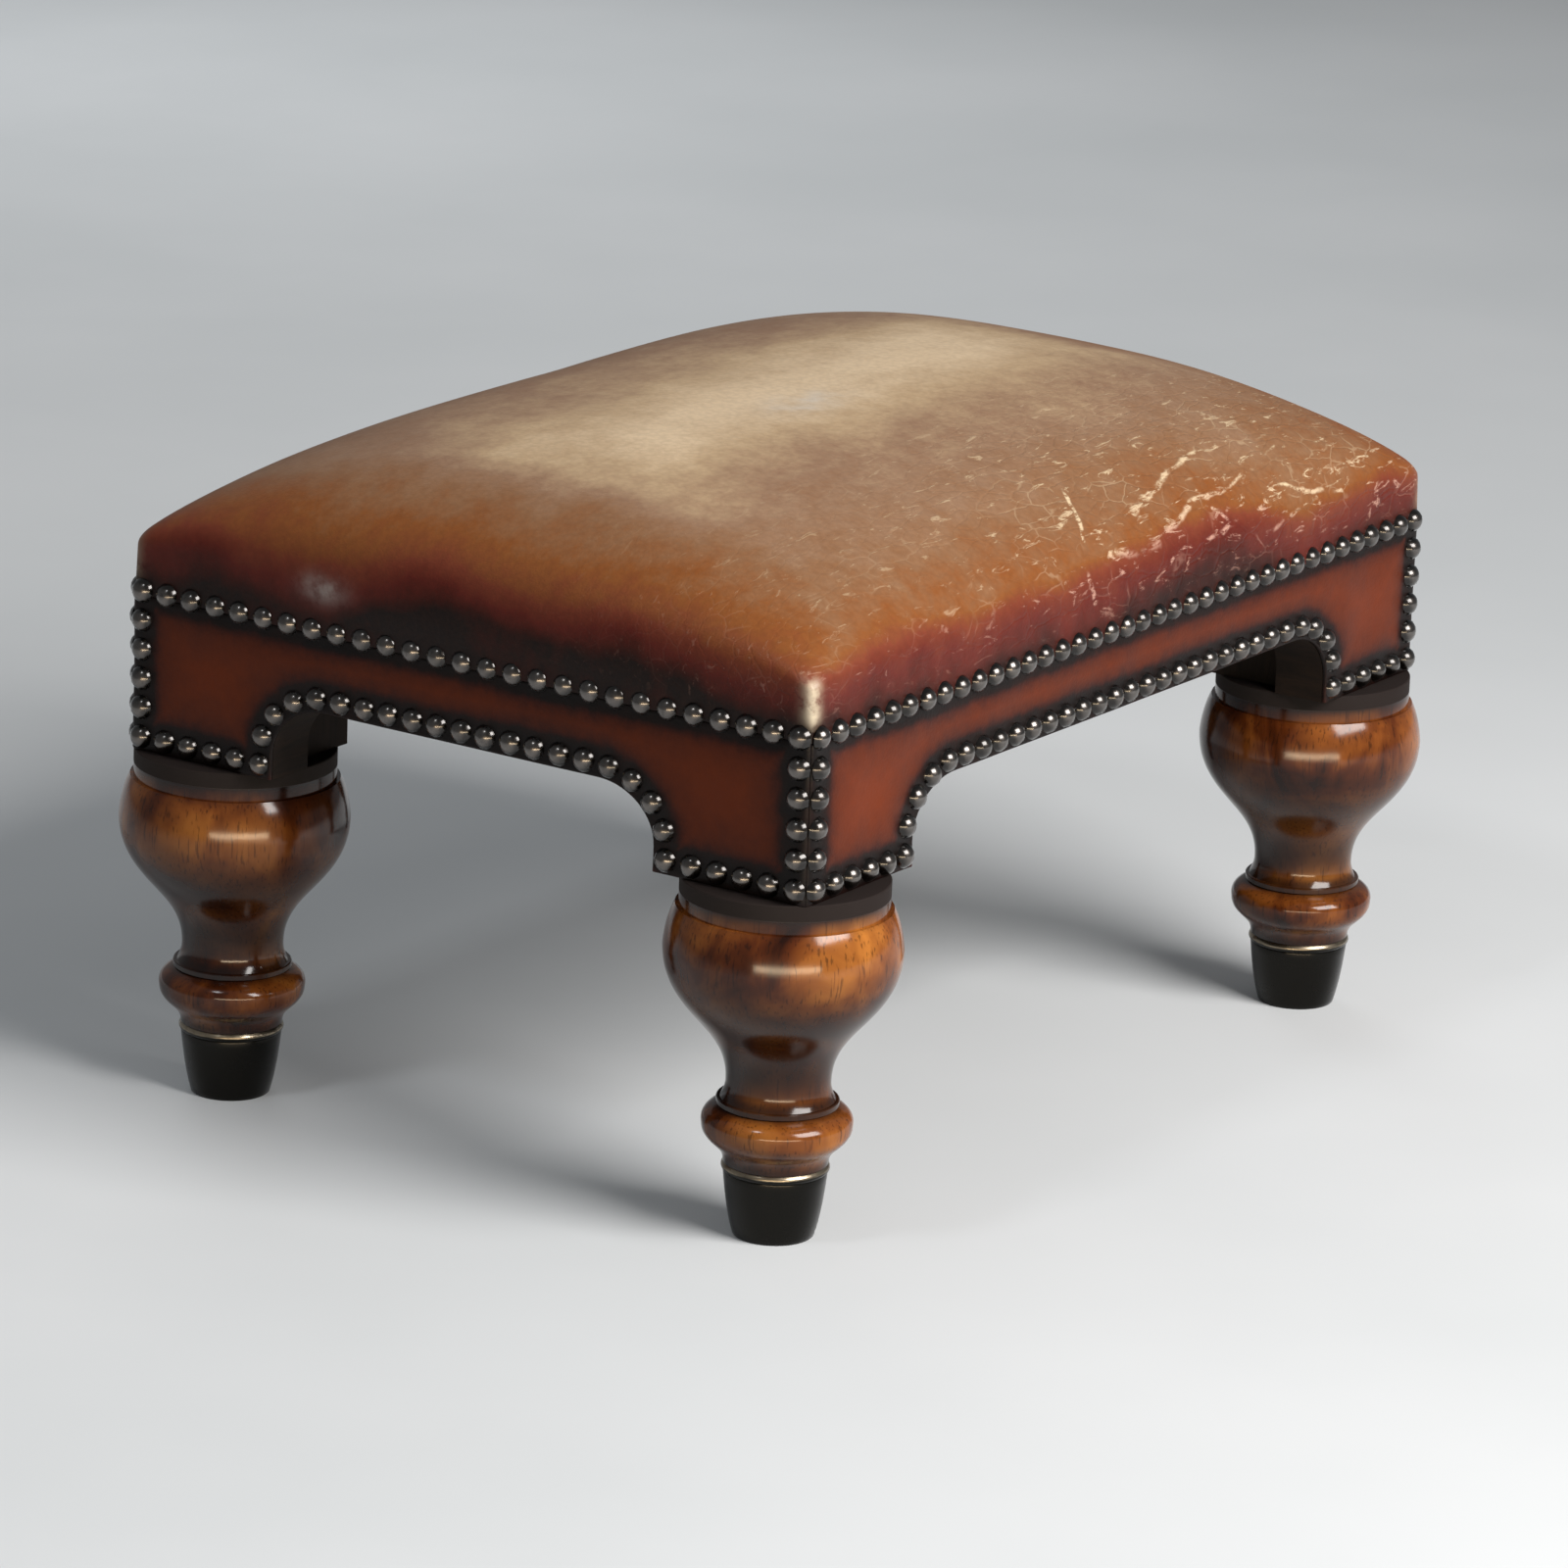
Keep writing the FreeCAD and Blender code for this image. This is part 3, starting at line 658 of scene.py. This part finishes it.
def fibres(name, light, dark, scale):
    tree, shader, finish = new_finish(name)
    tangle = cloud(tree, place_of(tree), scale, 6.0, 0.75, 2.5)
    colour = ramp(tree, tangle, [(0.32, dark), (0.66, light)])
    connect(tree, shader, Base_Color=colour, Normal=bump(tree, tangle, 0.002, 0.8))
    shader.inputs["Roughness"].default_value = 0.95
    return finish


# Positions along a dome's profile that divide its length evenly
def even_stations(half, rise, power, count):
    fine = 2000
    points = []
    for k in range(fine + 1):
        turn = (k / fine - 0.5) * pi
        share = copysign(abs(sin(turn)) ** (2 / power), turn)
        points.append((half * share, rise * cos(turn) ** (2 / power) if abs(share) < 1 else 0.0))
    reached = [0.0]
    for a, b in zip(points, points[1:]):
        reached.append(reached[-1] + hypot(b[0] - a[0], b[1] - a[1]))
    stations = []
    k = 0
    for step in range(count + 1):
        wanted = reached[-1] * step / count
        while k < fine - 1 and reached[k + 1] < wanted:
            k += 1
        share = (wanted - reached[k]) / (reached[k + 1] - reached[k])
        stations.append(points[k][0] + share * (points[k + 1][0] - points[k][0]))
    return stations


# A plan position moved onto the rounded corner
def rounded(x, y, radius):
    dx = abs(x) - (half_length - radius)
    dy = abs(y) - (half_width - radius)
    if dx <= 0 or dy <= 0:
        return x, y
    share = max(dx, dy) / hypot(dx, dy)
    x = copysign(half_length - radius + dx * share, x)
    y = copysign(half_width - radius + dy * share, y)
    return x, y


def seat_form():
    seat = grid("seat_cover", seat_columns, seat_rows)
    edit(seat, "EDGE")
    bpy.ops.mesh.region_to_loop()
    for _ in range(wall_rows):
        bpy.ops.mesh.extrude_region_move(TRANSFORM_OT_translate={"value": (0, 0, -1)})
    leave()
    rise = start_crown_top - wall_top
    xs = even_stations(half_length, rise, length_power, seat_columns)
    ys = even_stations(half_width, rise, width_power, seat_rows)
    for vertex in seat.data.vertices:
        u, v, depth = vertex.co
        x = xs[round((u + 1) / 2 * seat_columns)]
        y = ys[round((v + 1) / 2 * seat_rows)]
        if depth < -0.5:
            z = wall_top + (skirt_bottom - wall_top) * -depth / wall_rows
        else:
            z = seat_surface(x, y)
        soften = min(1.0, max(0.0, (z - nail_row_height) / (wall_top - nail_row_height)))
        x, y = rounded(x, y, corner_round + (shoulder_corner - corner_round) * soften)
        vertex.co = (x, y, z)
    return seat


# How freely the leather can swell: not at all at a corner or at the nails, fully in the middle
def freedom(point):
    from_corner = hypot(half_length - abs(point.x), half_width - abs(point.y))
    above = point.z - nail_row_height
    none_to, full_from = swell_from_corner
    off_corner = steps(from_corner, [(none_to, 0.0), (full_from, 1.0)])
    return off_corner * steps(above, [(0.0, 0.0), (swell_full_above_nails, 1.0)])


# Stuffing pushes the leather out, and the nail rows hold its edge
def fill_out(piece, held_below):
    start = [vertex.co.copy() for vertex in piece.data.vertices]
    normals = [vertex.normal.copy() for vertex in piece.data.vertices]
    held = piece.vertex_groups.new(name="held")
    held.add([v.index for v in piece.data.vertices if v.co.z < held_below], 1.0, "REPLACE")
    select_only(piece)
    modifier = piece.modifiers.new("cloth", "CLOTH")
    cloth = modifier.settings
    cloth.quality = 5
    cloth.mass = 0.4
    cloth.tension_stiffness = 25
    cloth.compression_stiffness = 25
    cloth.shear_stiffness = 12
    cloth.bending_stiffness = 1.5
    cloth.use_pressure = True
    cloth.uniform_pressure_force = cloth_pressure
    cloth.vertex_group_mass = held.name
    cloth.effector_weights.gravity = 0
    modifier.collision_settings.use_collision = False
    for step in range(1, cloth_frames + 1):
        bpy.context.scene.frame_set(step)
    bpy.ops.object.modifier_apply(modifier=modifier.name)
    bpy.context.scene.frame_set(1)
    swell = []
    for vertex, before, normal in zip(piece.data.vertices, start, normals):
        swell.append(min(cloth_reach, max(0.0, (vertex.co - before).dot(normal))) * freedom(before))
    joins = [tuple(edge.vertices) for edge in piece.data.edges]
    for _ in range(swell_evenings):
        total = list(swell)
        count = [1] * len(swell)
        for a, b in joins:
            total[a] += swell[b]
            total[b] += swell[a]
            count[a] += 1
            count[b] += 1
        swell = [sum_here / number for sum_here, number in zip(total, count)]
    for vertex, before, normal, rise in zip(piece.data.vertices, start, normals, swell):
        vertex.co = before + normal * rise
    piece.vertex_groups.clear()


# How far the dye has worn, from 0 at the nails to 1 in the middle: the ends stay darker than the sides
def wear_of(point):
    above = point.z - nail_row_height
    from_end = half_length - abs(point.x)
    from_side = half_width - abs(point.y)
    drift = noise.noise(point * 14) * 0.012 + noise.noise(point * 45) * 0.005
    middle = cos(pi * min(1.0, abs(point.y) / half_width) / 2)
    end_band = above + from_end * 0.9 - 0.010 * middle + drift
    side_band = above + from_side * 0.9 + drift
    end_level = steps(end_band, [
        (0.003, 0.0), (0.009, 0.13), (0.019, 0.29), (0.031, 0.45),
        (0.060, 0.56), (0.100, 0.66), (0.130, 0.86), (0.180, 1.0),
    ])
    side_level = steps(side_band, [
        (0.002, 0.04), (0.010, 0.17), (0.022, 0.30), (0.036, 0.54),
        (0.100, 0.67), (0.170, 0.77), (0.225, 1.0),
    ])
    return min(end_level, side_level)


# A value read off a broken line through knots of (value, result)
def steps(value, knots):
    if value <= knots[0][0]:
        return knots[0][1]
    for (a, low), (b, high) in zip(knots, knots[1:]):
        if value < b:
            return low + (high - low) * (value - a) / (b - a)
    return knots[-1][1]


# Scuffing is heaviest along the front edge
def scuffing_of(point):
    front = steps(point.y, [(-0.178, 1.0), (-0.130, 0.75), (-0.080, 0.25), (-0.020, 0.0)])
    low = steps(point.z, [(0.228, 0.0), (0.240, 1.0)])
    along = 0.35 + 0.65 * steps(point.x, [(-0.15, 0.0), (0.0, 1.0)])
    return front * low * along


# A pale rubbed spot near the middle of the top, and a painted reflection of a window on the left wall
def rubbing_and_reflection_of(point):
    centre = exp(-((point.x + 0.025) / 0.022) ** 2 - ((point.y + 0.020) / 0.012) ** 2)
    painted_reflection = 0
    if point.x < -0.2:
        painted_reflection = exp(-((point.y - 0.072) / 0.010) ** 2 - ((point.z - 0.243) / 0.005) ** 2)
    return min(1.0, 0.75 * centre * (0.7 + 0.6 * noise.noise(point * 90)) + 0.6 * painted_reflection)


# The corner ridges are polished by wear and carry a painted highlight, most of all at the front left
def ridge_wear_and_highlight_of(point):
    aside = min(half_length - abs(point.x), half_width - abs(point.y))
    from_corner = hypot(half_length - abs(point.x), half_width - abs(point.y))
    up = steps(point.z, [(0.228, 0.0), (0.233, 1.0), (0.252, 1.0), (0.266, 0.0)])
    near = exp(-(from_corner / 0.0045) ** 2) * (1.0 if aside < 0.012 else 0.0)
    return near * up * (1.0 if point.x < 0 and point.y < 0 else 0.35)


# The leather is drawn in at each nail and gathers a little between them
def gather(piece):
    normals = [vertex.normal.copy() for vertex in piece.data.vertices]
    for vertex, normal in zip(piece.data.vertices, normals):
        above = vertex.co.z - nail_row_height
        if above > fold_end:
            continue
        nail, _, distance = nail_tree.find(Vector((vertex.co.x, vertex.co.y, nail_row_height)))
        aside = hypot(vertex.co.x - nail.x, vertex.co.y - nail.y)
        fold = 0.5 + 0.5 * cos(pi * min(1.0, aside / (nail_pitch / 2)))
        uneven = 0.6 + 0.8 * noise.noise(vertex.co * 30)
        depth = fold_depth * fold * uneven * exp(-max(0.0, above) / fold_fade)
        vertex.co -= normal * depth


def make_seat():
    seat = seat_form()
    fill_out(seat, nail_row_height + 0.002)
    core = copied(seat, "seat_core")
    apply_modifier(seat, "SUBSURF", levels=1, render_levels=1)
    gather(seat)
    apply_modifier(seat, "SOLIDIFY", thickness=leather_thickness, offset=-1)
    points = [vertex.co.copy() for vertex in seat.data.vertices]
    paint(seat, "wear", [wear_of(point) for point in points])
    paint(seat, "scuffed", [scuffing_of(point) for point in points])
    paint(seat, "rubbed_and_reflection", [rubbing_and_reflection_of(point) for point in points])
    paint(seat, "ridge_wear_and_highlight", [ridge_wear_and_highlight_of(point) for point in points])
    smooth(seat, radians(60))
    dress(seat, seat_hide(), "top_leather")
    return core


# A layer under the leather: the seat's form drawn in and cut off at a height
def make_layer(core, name, node, inset, bottom, finish, thickness=None):
    layer = copied(core, name)
    edit(layer)
    shrink = (1 - inset / half_length, 1 - inset / half_width, 1 - inset / (crown_top - wall_top))
    bpy.ops.transform.resize(value=shrink, center_override=(0, 0, wall_top))
    bpy.ops.mesh.select_all(action="SELECT")
    bpy.ops.mesh.bisect(
        plane_co=(0, 0, bottom),
        plane_no=(0, 0, 1),
        clear_inner=True,
        use_fill=thickness is None,
    )
    leave()
    for vertex in layer.data.vertices:
        vertex.co.x, vertex.co.y = rounded(vertex.co.x, vertex.co.y, layer_corner)
    if thickness:
        apply_modifier(layer, "SOLIDIFY", thickness=thickness, offset=-1)
    smooth(layer, radians(60))
    dress(layer, finish, node)
    return layer


# The lower edge of a border from corner to corner, and where each of its points meets the upper edge
def border_edges(half):
    foot = half - foot_width
    spring = block_underside + arch_land
    top = block_underside + arch_rise
    bend = (top - spring) * quarter_circle
    knots = [
        [(-half, block_underside), (-foot, block_underside)],
        [(-foot, block_underside), (-foot, spring)],
        [(-foot, spring)] + sweep(
            (-foot, spring), (-foot, spring + bend),
            (-foot + arch_run * (1 - quarter_circle), top), (-foot + arch_run, top), 24),
        [(-foot + arch_run, top), (foot - arch_run, top)],
    ]
    knots += [[(-s, z) for s, z in reversed(part)] for part in reversed(knots[:3])]
    leans = [-half, -foot - fan_at_foot, -foot - fan_at_spring, -foot + arch_run - fan_at_arch_top]
    leans += [-s for s in reversed(leans)]
    lower = []
    upper = []
    for part, start, end in zip(knots, leans, leans[1:]):
        reached = [0.0]
        for a, b in zip(part, part[1:]):
            reached.append(reached[-1] + hypot(b[0] - a[0], b[1] - a[1]))
        count = max(3, round(reached[-1] / border_step))
        for k in range(count):
            wanted = reached[-1] * k / count
            i = next(i for i in range(len(part) - 1) if reached[i + 1] > wanted)
            share = (wanted - reached[i]) / (reached[i + 1] - reached[i])
            a, b = part[i], part[i + 1]
            lower.append((a[0] + share * (b[0] - a[0]), a[1] + share * (b[1] - a[1])))
            upper.append(start + (end - start) * k / count)
    lower.append((half, block_underside))
    upper.append(half)
    return lower, upper


# A point of a side's face, wrapped round the corner up to the mitre
def wrapped(side, s, out, z):
    half = sides[side][0]
    past = abs(s) - (half - corner_round)
    if past <= 0:
        return on_side(side, s, out, z)
    angle = past / corner_round * pi / 4
    reach = corner_round + out
    along = copysign(half - corner_round + reach * sin(angle), s)
    return on_side(side, along, reach * cos(angle) - corner_round, z)


# How open the border's colour is at a distance from the nail row: dark dye lies along it, with painted shade
# from the nail heads
dye_and_shade_line = [(0.0040, 0.0), (0.0068, 0.14), (0.0098, 0.46), (0.0145, 0.70), (0.028, 1.0)]


def make_border(side, finish):
    half = sides[side][0]
    lower, upper = border_edges(half)
    columns = len(lower) - 1
    border = grid("border_panel_" + side, columns, border_rows)
    openness = []
    for vertex in border.data.vertices:
        u, v, _ = vertex.co
        k = round((u + 1) / 2 * columns)
        share = (v + 1) / 2
        s = lower[k][0] + (upper[k] - lower[k][0]) * share
        z = lower[k][1] + (border_top - lower[k][1]) * share
        flat = wrapped(side, s, 0, z)
        distance = nail_distance(flat)
        rise = 1 - exp(-(distance / puff_reach) ** 2)
        uneven = 0.7 + 0.6 * noise.noise(flat * 40)
        vertex.co = wrapped(side, s, border_puff * rise * uneven, z)
        openness.append(steps(distance, dye_and_shade_line))
    paint(border, "open", openness)
    apply_modifier(border, "SOLIDIFY", thickness=leather_thickness, offset=-1)
    sharp = {"limit_method": "ANGLE", "angle_limit": radians(50)}
    apply_modifier(border, "BEVEL", width=rim_bevel, segments=2, **sharp)
    smooth(border, radians(50))
    dress(border, finish, "border_" + side)


# Domed heads, each a little different in size and lean, on the shanks that the frame's nails have
def make_nails(finish):
    dice = Random(7)
    ball = (nail_radius ** 2 + nail_height ** 2) / (2 * nail_height)
    rim = asin(nail_radius / ball)
    dome = []
    for k in range(nail_rings + 1):
        turn = rim * (1 - k / nail_rings)
        dome.append((ball * sin(turn), ball * cos(turn) - ball + nail_height))
    models = {}
    for node in nail_nodes:
        heads = []
        for point, outward, shank in nails[node]:
            key = round(shank, 4)
            if key not in models:
                stem = [(0.0, -key), (nail_shank_radius, 0.0)]
                model = turned("nail_model_%d" % len(models), stem + dome, nail_sides)
                paint(model, "crown", [max(0.0, v.co.z / nail_height) for v in model.data.vertices])
                smooth(model, radians(50))
                models[key] = model
            head = copied(models[key], "nail")
            lean_x = dice.uniform(-nail_lean, nail_lean)
            lean_y = dice.uniform(-nail_lean, nail_lean)
            lean = Euler((lean_x, lean_y, dice.uniform(0, 6)))
            facing = outward.to_track_quat("Z", "Y").to_matrix().to_4x4()
            width = dice.uniform(*nail_widths)
            size = Matrix.Diagonal((width, width, dice.uniform(*nail_heights), 1))
            spot = Matrix.Translation(point - outward * nail_sink)
            head.matrix_world = spot @ facing @ lean.to_matrix().to_4x4() @ size
            heads.append(head)
        dress(joined(heads, node.replace("nails_", "domed_nails_")), finish, node)
    for model in models.values():
        remove(model)


# From the screw's bore over foot, ankle, bead, ring, neck, ball and collar to the spigot
def leg_profile():
    under = block_underside
    spigot_top = under + spigot_length
    ankle = (ankle_radius, ankle_height)
    bead = (bead_radius, bead_height)
    ring_foot = (0.0246, ring_low)
    cove_foot = (0.0240, ring_high)
    neck = (neck_radius, neck_height)
    ball = (ball_radius, ball_height)
    ball_end = (ball_top_radius, ball_top)
    points = [(0.0, screw_bore_top), (screw_bore_radius, screw_bore_top)]
    points += [(screw_bore_radius, foot_height), (foot_radius, foot_height), (0.02035, ankle_height), ankle]
    points += sweep(ankle, (ankle_radius, ankle_height + 0.008), (bead_radius, 0.0403), bead, 12)
    points += bow(bead, (0.0302, 0.0532), ring_foot, 8)
    points += [(0.0251, ring_low), (ring_radius, 0.0572), (ring_radius, 0.0591)]
    points += [(0.0251, ring_high), cove_foot]
    points += bow(cove_foot, (0.0223, 0.0632), neck, 8)
    points += sweep(neck, (neck_radius, 0.0920), (ball_radius, 0.0965), ball, 30)
    points += bow(ball, (0.0480, 0.1340), ball_end, 14)
    points += [(collar_radius, z) for z in (ball_top, 0.1450, 0.1480, under - 0.0004)]
    points += [(0.0431, under), (spigot_radius, under), (spigot_radius, under + 0.0445)]
    points += [(0.0115, spigot_top), (0.0, spigot_top)]
    return points


# Dark wax lies in the grooves, and painted shade darkens the underside of the ball and blackens the collar
# under the block; the bands are given as (height, reach, strength)
def leg_wax_and_shade(z):
    wax_and_shade_bands = [
        (0.0320, 0.004, 0.90),
        (0.0575, 0.0022, 0.90),
        (0.0600, 0.005, 0.90),
        # Painted shade: these two bands darken the underside of the ball
        (0.0740, 0.016, 0.86),
        (0.099, 0.018, 0.72),
    ]
    depth = max(strength * exp(-((z - height) / reach) ** 2) for height, reach, strength in wax_and_shade_bands)
    return max(depth, steps(z, [(0.140, 0.0), (0.145, 0.55), (0.148, 1.0)]))


def leg_spots():
    for corner, (sx, sy) in corners.items():
        yield corner, (sx * (half_length - leg_inset), sy * (half_width - leg_inset), 0)


def make_legs(finish):
    model = turned("leg_model", leg_profile(), leg_steps)
    paint(model, "wax_and_shade", [leg_wax_and_shade(v.co.z) for v in model.data.vertices])
    smooth(model, radians(40))
    for corner, spot in leg_spots():
        leg = copied(model, "turned_leg_" + corner, spot)
        dress(leg, finish, "leg_" + corner)
    remove(model)


# Tapered cups with a rolled rim and a countersunk hole for the screw, bright on the rim
def make_ferrules(finish):
    points = [(screw_hole_radius, 0.0), (0.0166, 0.0), (0.0171, 0.0005)]
    points += bow((0.0171, 0.0005), (0.0197, 0.0120), (0.0217, rim_low - 0.0006), 12)
    points += [(0.0215, rim_low)]
    points += bow((0.0215, rim_low), (0.0226, 0.02975), (0.0217, rim_height), 8)
    points += [(0.0205, rim_height), (0.0159, base_thickness), (screw_bore_radius, base_thickness)]
    points += [(screw_hole_radius, 0.0002), (screw_hole_radius, 0.0)]
    model = turned("ferrule_model", points, leg_steps)
    rim_wear = [(0.010, 0.0), (0.026, 0.05), (0.0290, 0.25), (0.0305, 1.0)]
    paint(model, "crown", [steps(v.co.z, rim_wear) for v in model.data.vertices])
    smooth(model, radians(35))
    for corner, spot in leg_spots():
        cup = copied(model, "ferrule_cup_" + corner, spot)
        dress(cup, finish, "ferrule_" + corner)
    remove(model)


# Black cloth tacked under the rails, sagging a little between them
def make_dust_cover(finish):
    low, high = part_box("dust_cover")
    straight = (half_length - foot_width - arch_run, half_width - foot_width - arch_run)
    marks = []
    for axis in (0, 1):
        knots = sorted({0.0, straight[axis], post_notch[axis], rail_inner[axis], high[axis]})
        spots = []
        for a, b in zip(knots, knots[1:]):
            count = max(1, round((b - a) / cloth_step))
            spots += [a + (b - a) * k / count for k in range(count)]
        spots.append(knots[-1])
        marks.append([-s for s in reversed(spots[1:])] + spots)
    xs, ys = marks
    cover = grid("dust_cloth", len(xs) - 1, len(ys) - 1)
    for vertex in cover.data.vertices:
        x = xs[round((vertex.co.x + 1) / 2 * (len(xs) - 1))]
        y = ys[round((vertex.co.y + 1) / 2 * (len(ys) - 1))]
        from_rails = ((rail_inner[0] - abs(x)) / sag_run, (rail_inner[1] - abs(y)) / sag_run)
        inside = max(0.0, min(1.0, *from_rails))
        sag = cloth_sag * inside * inside * (3 - 2 * inside)
        ripple = cloth_ripple * noise.noise(Vector((x, y, 0)) * 35) * inside
        vertex.co = (x, y, high.z - sag + ripple)

    def outside(centre):
        x, y = abs(centre.x), abs(centre.y)
        beyond = x > rail_inner[0] and y > straight[1] or y > rail_inner[1] and x > straight[0]
        return beyond or x > post_notch[0] and y > post_notch[1]

    edit(cover, "FACE")
    bpy.ops.mesh.select_all(action="DESELECT")
    leave()
    for face in cover.data.polygons:
        face.select = outside(face.center)
    select_only(cover)
    bpy.ops.object.mode_set(mode="EDIT")
    bpy.ops.mesh.delete(type="FACE")
    leave()
    apply_modifier(cover, "SOLIDIFY", thickness=high.z - low.z, offset=-1)
    smooth(cover, radians(50))
    dress(cover, finish, "dust_cover")


def finish_nodes():
    finishes = {
        # Rails and posts: dark stain, darkened further to near black by painted shade
        "rail_": timber("frame_beech", (0.026, 0.014, 0.008), (0.010, 0.006, 0.004), (25, 25, 160)),
        "corner_post_": timber("post_stain_and_shade", (0.024, 0.013, 0.008), (0.010, 0.006, 0.004), (140, 140, 16)),
        "rail_dowels": timber("dowel_beech", (0.42, 0.27, 0.14), (0.30, 0.18, 0.09), (60, 60, 200)),
        "ferrule_screws": steel("screw_steel", (0.42, 0.40, 0.37), (0.16, 0.14, 0.12)),
        "webbing_": woven("jute_webbing", (0.36, 0.25, 0.13), (0.14, 0.09, 0.045), 0.0026),
        "webbing_tacks": steel("tack_steel", (0.20, 0.20, 0.21), (0.06, 0.06, 0.07)),
        "seat_hessian": woven("hessian", (0.38, 0.27, 0.15), (0.15, 0.10, 0.05), 0.0018),
    }
    tacks = finishes["webbing_tacks"]
    for name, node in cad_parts.items():
        if node.hide_render:
            continue
        fitting = [key for key in finishes if name.startswith(key)]
        finish = tacks if name.endswith("tacks") else finishes[max(fitting, key=len)]
        for slot in node.material_slots:
            slot.material = finish


# Studio: pale matt floor, plain surround, a wide window of light, and roof, back and strip lamps
def make_stage():
    bpy.ops.object.select_all(action="DESELECT")
    bpy.ops.mesh.primitive_circle_add(vertices=96, radius=16, fill_type="NGON", location=(0, 0, 0))
    floor = named("studio_floor")
    settle(floor)
    tree, shader, finish = new_finish("studio_floor")
    tone = cloud(tree, place_of(tree), 2.5, 4.0, 0.5)
    colour = ramp(tree, tone, [(0.3, (0.66, 0.68, 0.69)), (0.7, (0.72, 0.735, 0.745))])
    paths = add(tree, "LightPath").outputs
    seen = calc(tree, "MAXIMUM", paths["Is Camera Ray"], paths["Is Glossy Ray"])
    seen = calc(tree, "MAXIMUM", seen, paths["Is Transmission Ray"])
    colour = mixed(tree, seen, (0.22, 0.225, 0.23), colour)
    connect(tree, shader, Base_Color=colour)
    shader.inputs["Roughness"].default_value = 0.9
    shader.inputs["Specular IOR Level"].default_value = 0.0
    floor.data.materials.append(finish)

    world = bpy.data.worlds.new("studio_surround")
    bpy.context.scene.world = world
    world.use_nodes = True
    background = world.node_tree.nodes["Background"]
    background.inputs["Color"].default_value = (0.94, 0.97, 1.0, 1)
    background.inputs["Strength"].default_value = 0.20

    add_lamp("window_light", Vector((-0.083, -0.817, 0.56)), 2.6, (1.5, 1.15), 92, (1.0, 0.975, 0.95))
    add_lamp("roof_light", Vector((-0.57, 0.02, 0.72)), 2.2, (0.30, 0.30), 4.5, (0.93, 0.97, 1.0))
    back = add_lamp("back_light", Vector((0.62, 0.70, 0.35)), 2.6, (1.2, 1.2), 9, (0.95, 0.98, 1.0))
    back.visible_glossy = False
    strip = add_lamp("strip_light", Vector((-0.78, -0.62, 0.0)), 2.4, (2.6, 0.18), 26, (1.0, 0.80, 0.54))
    strip.visible_diffuse = False


def add_lamp(name, direction, distance, size, power, colour):
    direction = direction.normalized()
    bpy.ops.object.light_add(type="AREA", location=direction * distance + Vector((0, 0, 0.15)))
    lamp = bpy.context.object
    lamp.name = name
    lamp.rotation_euler = direction.to_track_quat("Z", "Y").to_euler()
    lamp.data.shape = "RECTANGLE"
    lamp.data.size, lamp.data.size_y = size
    lamp.data.energy = power
    lamp.data.color = colour
    return lamp


# Camera at the photograph's angle
def make_camera():
    azimuth = radians(-55.88)
    elevation = radians(16.32)
    roll = radians(2.093)
    distance = 3.5085
    target = Vector((-0.0444, -0.0295, 0.1349))
    back = Vector((sin(azimuth) * cos(elevation), -cos(azimuth) * cos(elevation), sin(elevation)))
    level_right = (-back).cross(Vector((0, 0, 1))).normalized()
    level_up = level_right.cross(-back)
    right = level_right * cos(roll) + level_up * sin(roll)
    up = level_up * cos(roll) - level_right * sin(roll)
    bpy.ops.object.camera_add()
    camera = bpy.context.object
    turn = Matrix((right, up, back)).transposed().to_4x4()
    camera.matrix_world = Matrix.Translation(target + back * distance) @ turn
    camera.data.lens = 186.49
    camera.data.sensor_width = 36
    camera.data.clip_end = 100
    bpy.context.scene.camera = camera


# Every visible piece, in the order in which the pieces are built
def make_everything():
    core = make_seat()
    wadding = make_layer(core, "wadding_layer", "seat_wadding", wadding_inset, rail_top,
                         fibres("cotton_wadding", (0.78, 0.76, 0.70), (0.55, 0.52, 0.46), 90.0),
                         wadding_thickness)
    calico = make_layer(core, "calico_layer", "calico_cover", calico_inset, rail_top,
                        woven("unbleached_calico", (0.66, 0.60, 0.48), (0.45, 0.40, 0.30), 0.0008),
                        calico_thickness)
    stuffing = make_layer(core, "stuffing_pad", "seat_stuffing", stuffing_inset, stuffing_bottom,
                          fibres("curled_fibre", (0.20, 0.12, 0.06), (0.05, 0.03, 0.015), 160.0))
    remove(core)
    border_finish = border_hide()
    for side in sides:
        make_border(side, border_finish)
    make_nails(aged_bronze("nail_bronze", (0.014, 0.011, 0.009), (0.12, 0.105, 0.095), 70.0, 1.0))
    make_legs(polished_walnut())
    make_ferrules(aged_bronze("ferrule_bronze", (0.012, 0.011, 0.009), (0.34, 0.28, 0.20), 60.0, 0.2))
    make_dust_cover(woven("dust_cloth", (0.020, 0.020, 0.022), (0.006, 0.006, 0.007), 0.0009))
    finish_nodes()


make_everything()
make_stage()
make_camera()
bpy.context.scene.view_settings.view_transform = "Standard"
